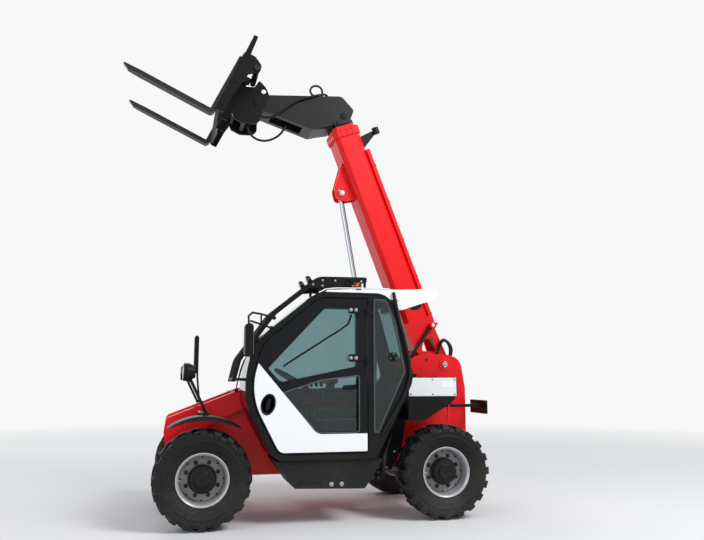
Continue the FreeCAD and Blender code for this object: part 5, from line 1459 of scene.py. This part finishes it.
def makeCarriageDetail():
    mesh, ends, heads = bmesh.new(), bmesh.new(), bmesh.new()
    for side in (1, -1):
        y = side * 555
        for a, b in ((268, 232), (130, 190), (240, -60), (246, -330)):
            addBolt(mesh, onCarriage(a, y, b), (0, side, 0), 0.010)
        spot = onCarriage(125, y + side * 13, 171)
        addLathe(ends, [(0.029, 0), (0.029, 0.004), (0.018, 0.004), (0.018, -0.003), (0.003, -0.003)], spot,
                 (0, side, 0), 32, closed=False)
        spot = onCarriage(-13, side * 198, 130)
        addLathe(heads, [(0.024, 0), (0.024, 0.004), (0.020, 0.007), (0.008, 0.0075)], spot, (0, side, 0), 32,
                 closed=False)
    finishPiece("carriage_bolts", mesh, "carriage", "blackPaint", 30)
    finishPiece("carriage_tube_ends", ends, "carriage", "wornSteel", 30)
    finishPiece("coupler_pin_heads", heads, "carriage", "aluminium", 30)
    # Fork locks: spring pins with a handle on the top bar, and the bar's notches
    mesh = bmesh.new()
    for side in (1, -1):
        for a, b in ((246, 206), ):
            low, high = onCarriage(a, side * 480, b), onCarriage(a, side * 480, b + 42)
            addRod(mesh, low, high, 0.009, 16)
            addRod(mesh, high - Vector((0, 0.026, 0)), high + Vector((0, 0.026, 0)), 0.006, 12)
    finishPiece("fork_locks", mesh, "carriage", "zinc", 40)
    mesh = bmesh.new()
    for k in range(9):
        y = -400 + k * 100
        addPrism(mesh, [onCarriage(a, y - 9, b) for a, b in ((252, 185), (283, 185), (283, 189), (252, 189))],
                 (0, 0.018, 0))
    finishPiece("carriage_notches", mesh, "carriage", "wornSteel", 40, 0.001)
    # Quick-coupling block for an attachment's hoses
    mesh = bmesh.new()
    addPrism(mesh, [onCarriage(a, -330, b) for a, b in ((170, 20), (246, 20), (246, 84), (170, 84))], (0, 0.090, 0))
    finishPiece("coupling_block", mesh, "carriage", "darkFrame", 40, 0.003)
    mesh = bmesh.new()
    along = (onCarriage(1, 0, 0) - onCarriage(0, 0, 0)).normalized()
    for y in (-308, -262):
        spot = onCarriage(246, y, 52)
        addLathe(mesh, [(0.015, 0), (0.015, 0.006), (0.012, 0.008), (0.012, 0.020), (0.015, 0.022), (0.015, 0.034),
                        (0.010, 0.036)], spot, along, 24, closed=False)
    finishPiece("quick_couplings", mesh, "carriage", "zinc", 35)


def makeFrontWindow():
    # Wiper on the windscreen and rubber pads at the guard's feet
    mesh = bmesh.new()
    arm = [at(x, 590, z) for x, z in ((812, 1168), (802, 1240), (775, 1360), (742, 1450))]
    addTubeLine(mesh, arm, 0.006, 12)
    addRod(mesh, at(796, 590, 1168), at(826, 590, 1168), 0.017, 20)
    finishPiece("wiper_arm", mesh, "chassis", "blackPaint", 50)
    mesh = bmesh.new()
    blade = [at(x, 590, z) for x, z in ((790, 1275), (766, 1370), (738, 1450), (700, 1530), (652, 1610))]
    addTubeLine(mesh, blade, 0.0045, 8)
    finishPiece("wiper_blade", mesh, "chassis", "hoseRubber", 50)
    mesh = bmesh.new()
    for y in (404, 776):
        addBlock(mesh, (700, 720), (y - 16, y + 16), (1196, 1228))
    finishPiece("guard_foot_pads", mesh, "chassis", "hoseRubber", 40, 0.004)


makeNoseDetail()
makeRearDetail()
makeAxleDetail()
makeCarriageDetail()
makeFrontWindow()
print("nose, rear, axles, carriage and wiper made")


# Tower: forward cheeks beside the boom's tail, each with a dark disc as painted shade of a hole
def makeTowerCheeks():
    mesh = bmesh.new()
    outline = [(-1290, 1180), (-1290, 1513), (-1195, 1528), (-1087, 1519), (-1022, 1503), (-979, 1477), (-946, 1432),
               (-946, 1180)]
    sidePrism(mesh, outline, 262, 282)
    sidePrism(mesh, outline, -282, -262)
    finishPiece("tower_cheeks", mesh, "chassis", "redPaint", 35, 0.002)
    mesh = bmesh.new()
    # Dark discs on the cheeks: painted shade of their holes
    for side in (1, -1):
        addLathe(mesh, [(0.013, 0), (0.013, 0.0015), (0.004, 0.0016)], at(-1134, 282 * side, 1465), (0, side, 0), 28,
                 closed=False)
    finishPiece("tower_cheek_hole_shade", mesh, "chassis", "hoseRubber", 40)


makeTowerCheeks()

# Floor, sky and lamps
studio = {"floorRadius": 60, "floorTone": 0.80, "fadeStart": 4.0, "fadeEnd": 14.0, "skyTone": 0.93,
          "skyStrength": 0.50,
          "lamps": [("key", (-5.5, 7.0, 8.5), 4.0, 860), ("fill", (7.0, 6.5, 4.0), 6.0, 200),
                    ("back", (3.0, -8.0, 8.0), 6.0, 300)]}


def seenDirectly(tree):  # 1 for camera, mirror and glass rays
    rays = addNode(tree, "LightPath")
    return mathNode(tree, "MAXIMUM", rays.outputs["Is Camera Ray"],
                    mathNode(tree, "MAXIMUM", rays.outputs["Is Glossy Ray"], rays.outputs["Is Transmission Ray"]))


def makeStudio():
    floorMesh = bpy.data.meshes.new("floor")
    grid = bmesh.new()
    bmesh.ops.create_circle(grid, cap_ends=True, segments=96, radius=studio["floorRadius"])
    grid.to_mesh(floorMesh)
    grid.free()
    floor = bpy.data.objects.new("floor", floorMesh)
    bpy.context.scene.collection.objects.link(floor)
    floorLook, tree, shader = startMaterial("floorLook")
    stain = addNode(tree, "TexNoise", Scale=0.8, Detail=4.0)
    tone = studio["floorTone"]
    tree.links.new(mixColour(tree, stain.outputs[0], rgba((tone, tone, tone)),
                             rgba((tone * 0.97, tone * 0.97, tone * 0.98))), shader.inputs["Base Color"])
    shader.inputs["Roughness"].default_value = 0.9
    far = addNode(tree, "VectorMath", {"operation": "LENGTH"}, i0=addNode(tree, "TexCoord").outputs["Object"])
    fade = spread(tree, far.outputs["Value"], studio["fadeStart"], studio["fadeEnd"], 0.0, 1.0)
    sky = studio["skyTone"]
    glow = addNode(tree, "Emission", Color=rgba((sky, sky * 1.005, sky * 1.01)), Strength=1.0)
    shown = mathNode(tree, "MULTIPLY", seenDirectly(tree), fade)
    mix = addNode(tree, "MixShader", i0=shown, i1=shader.outputs[0], i2=glow.outputs[0])
    tree.links.new(mix.outputs[0], tree.nodes["Material Output"].inputs["Surface"])
    floorMesh.materials.append(floorLook)
    floor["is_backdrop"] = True

    world = bpy.data.worlds.new("studio")
    bpy.context.scene.world = world
    world.use_nodes = True
    tree = world.node_tree
    back = tree.nodes["Background"]
    back.inputs["Color"].default_value = (0.84, 0.89, 0.95, 1)
    back.inputs["Strength"].default_value = studio["skyStrength"]
    shown = addNode(tree, "Background", Color=rgba((sky, sky * 1.005, sky * 1.01)), Strength=1.0)
    mix = addNode(tree, "MixShader", i0=seenDirectly(tree), i1=back.outputs[0], i2=shown.outputs[0])
    tree.links.new(mix.outputs[0], tree.nodes["World Output"].inputs["Surface"])

    for name, spot, size, power in studio["lamps"]:
        lamp = bpy.data.lights.new(name, "AREA")
        lamp.size = size
        lamp.energy = power
        obj = bpy.data.objects.new(name, lamp)
        obj.location = spot
        obj.rotation_mode = "QUATERNION"
        obj.rotation_quaternion = (Vector((0, 0, 1.6)) - obj.location).to_track_quat("-Z", "Y")
        bpy.context.scene.collection.objects.link(obj)


makeStudio()
bpy.context.scene.view_settings.view_transform = "Standard"
print("studio made")

low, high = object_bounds()
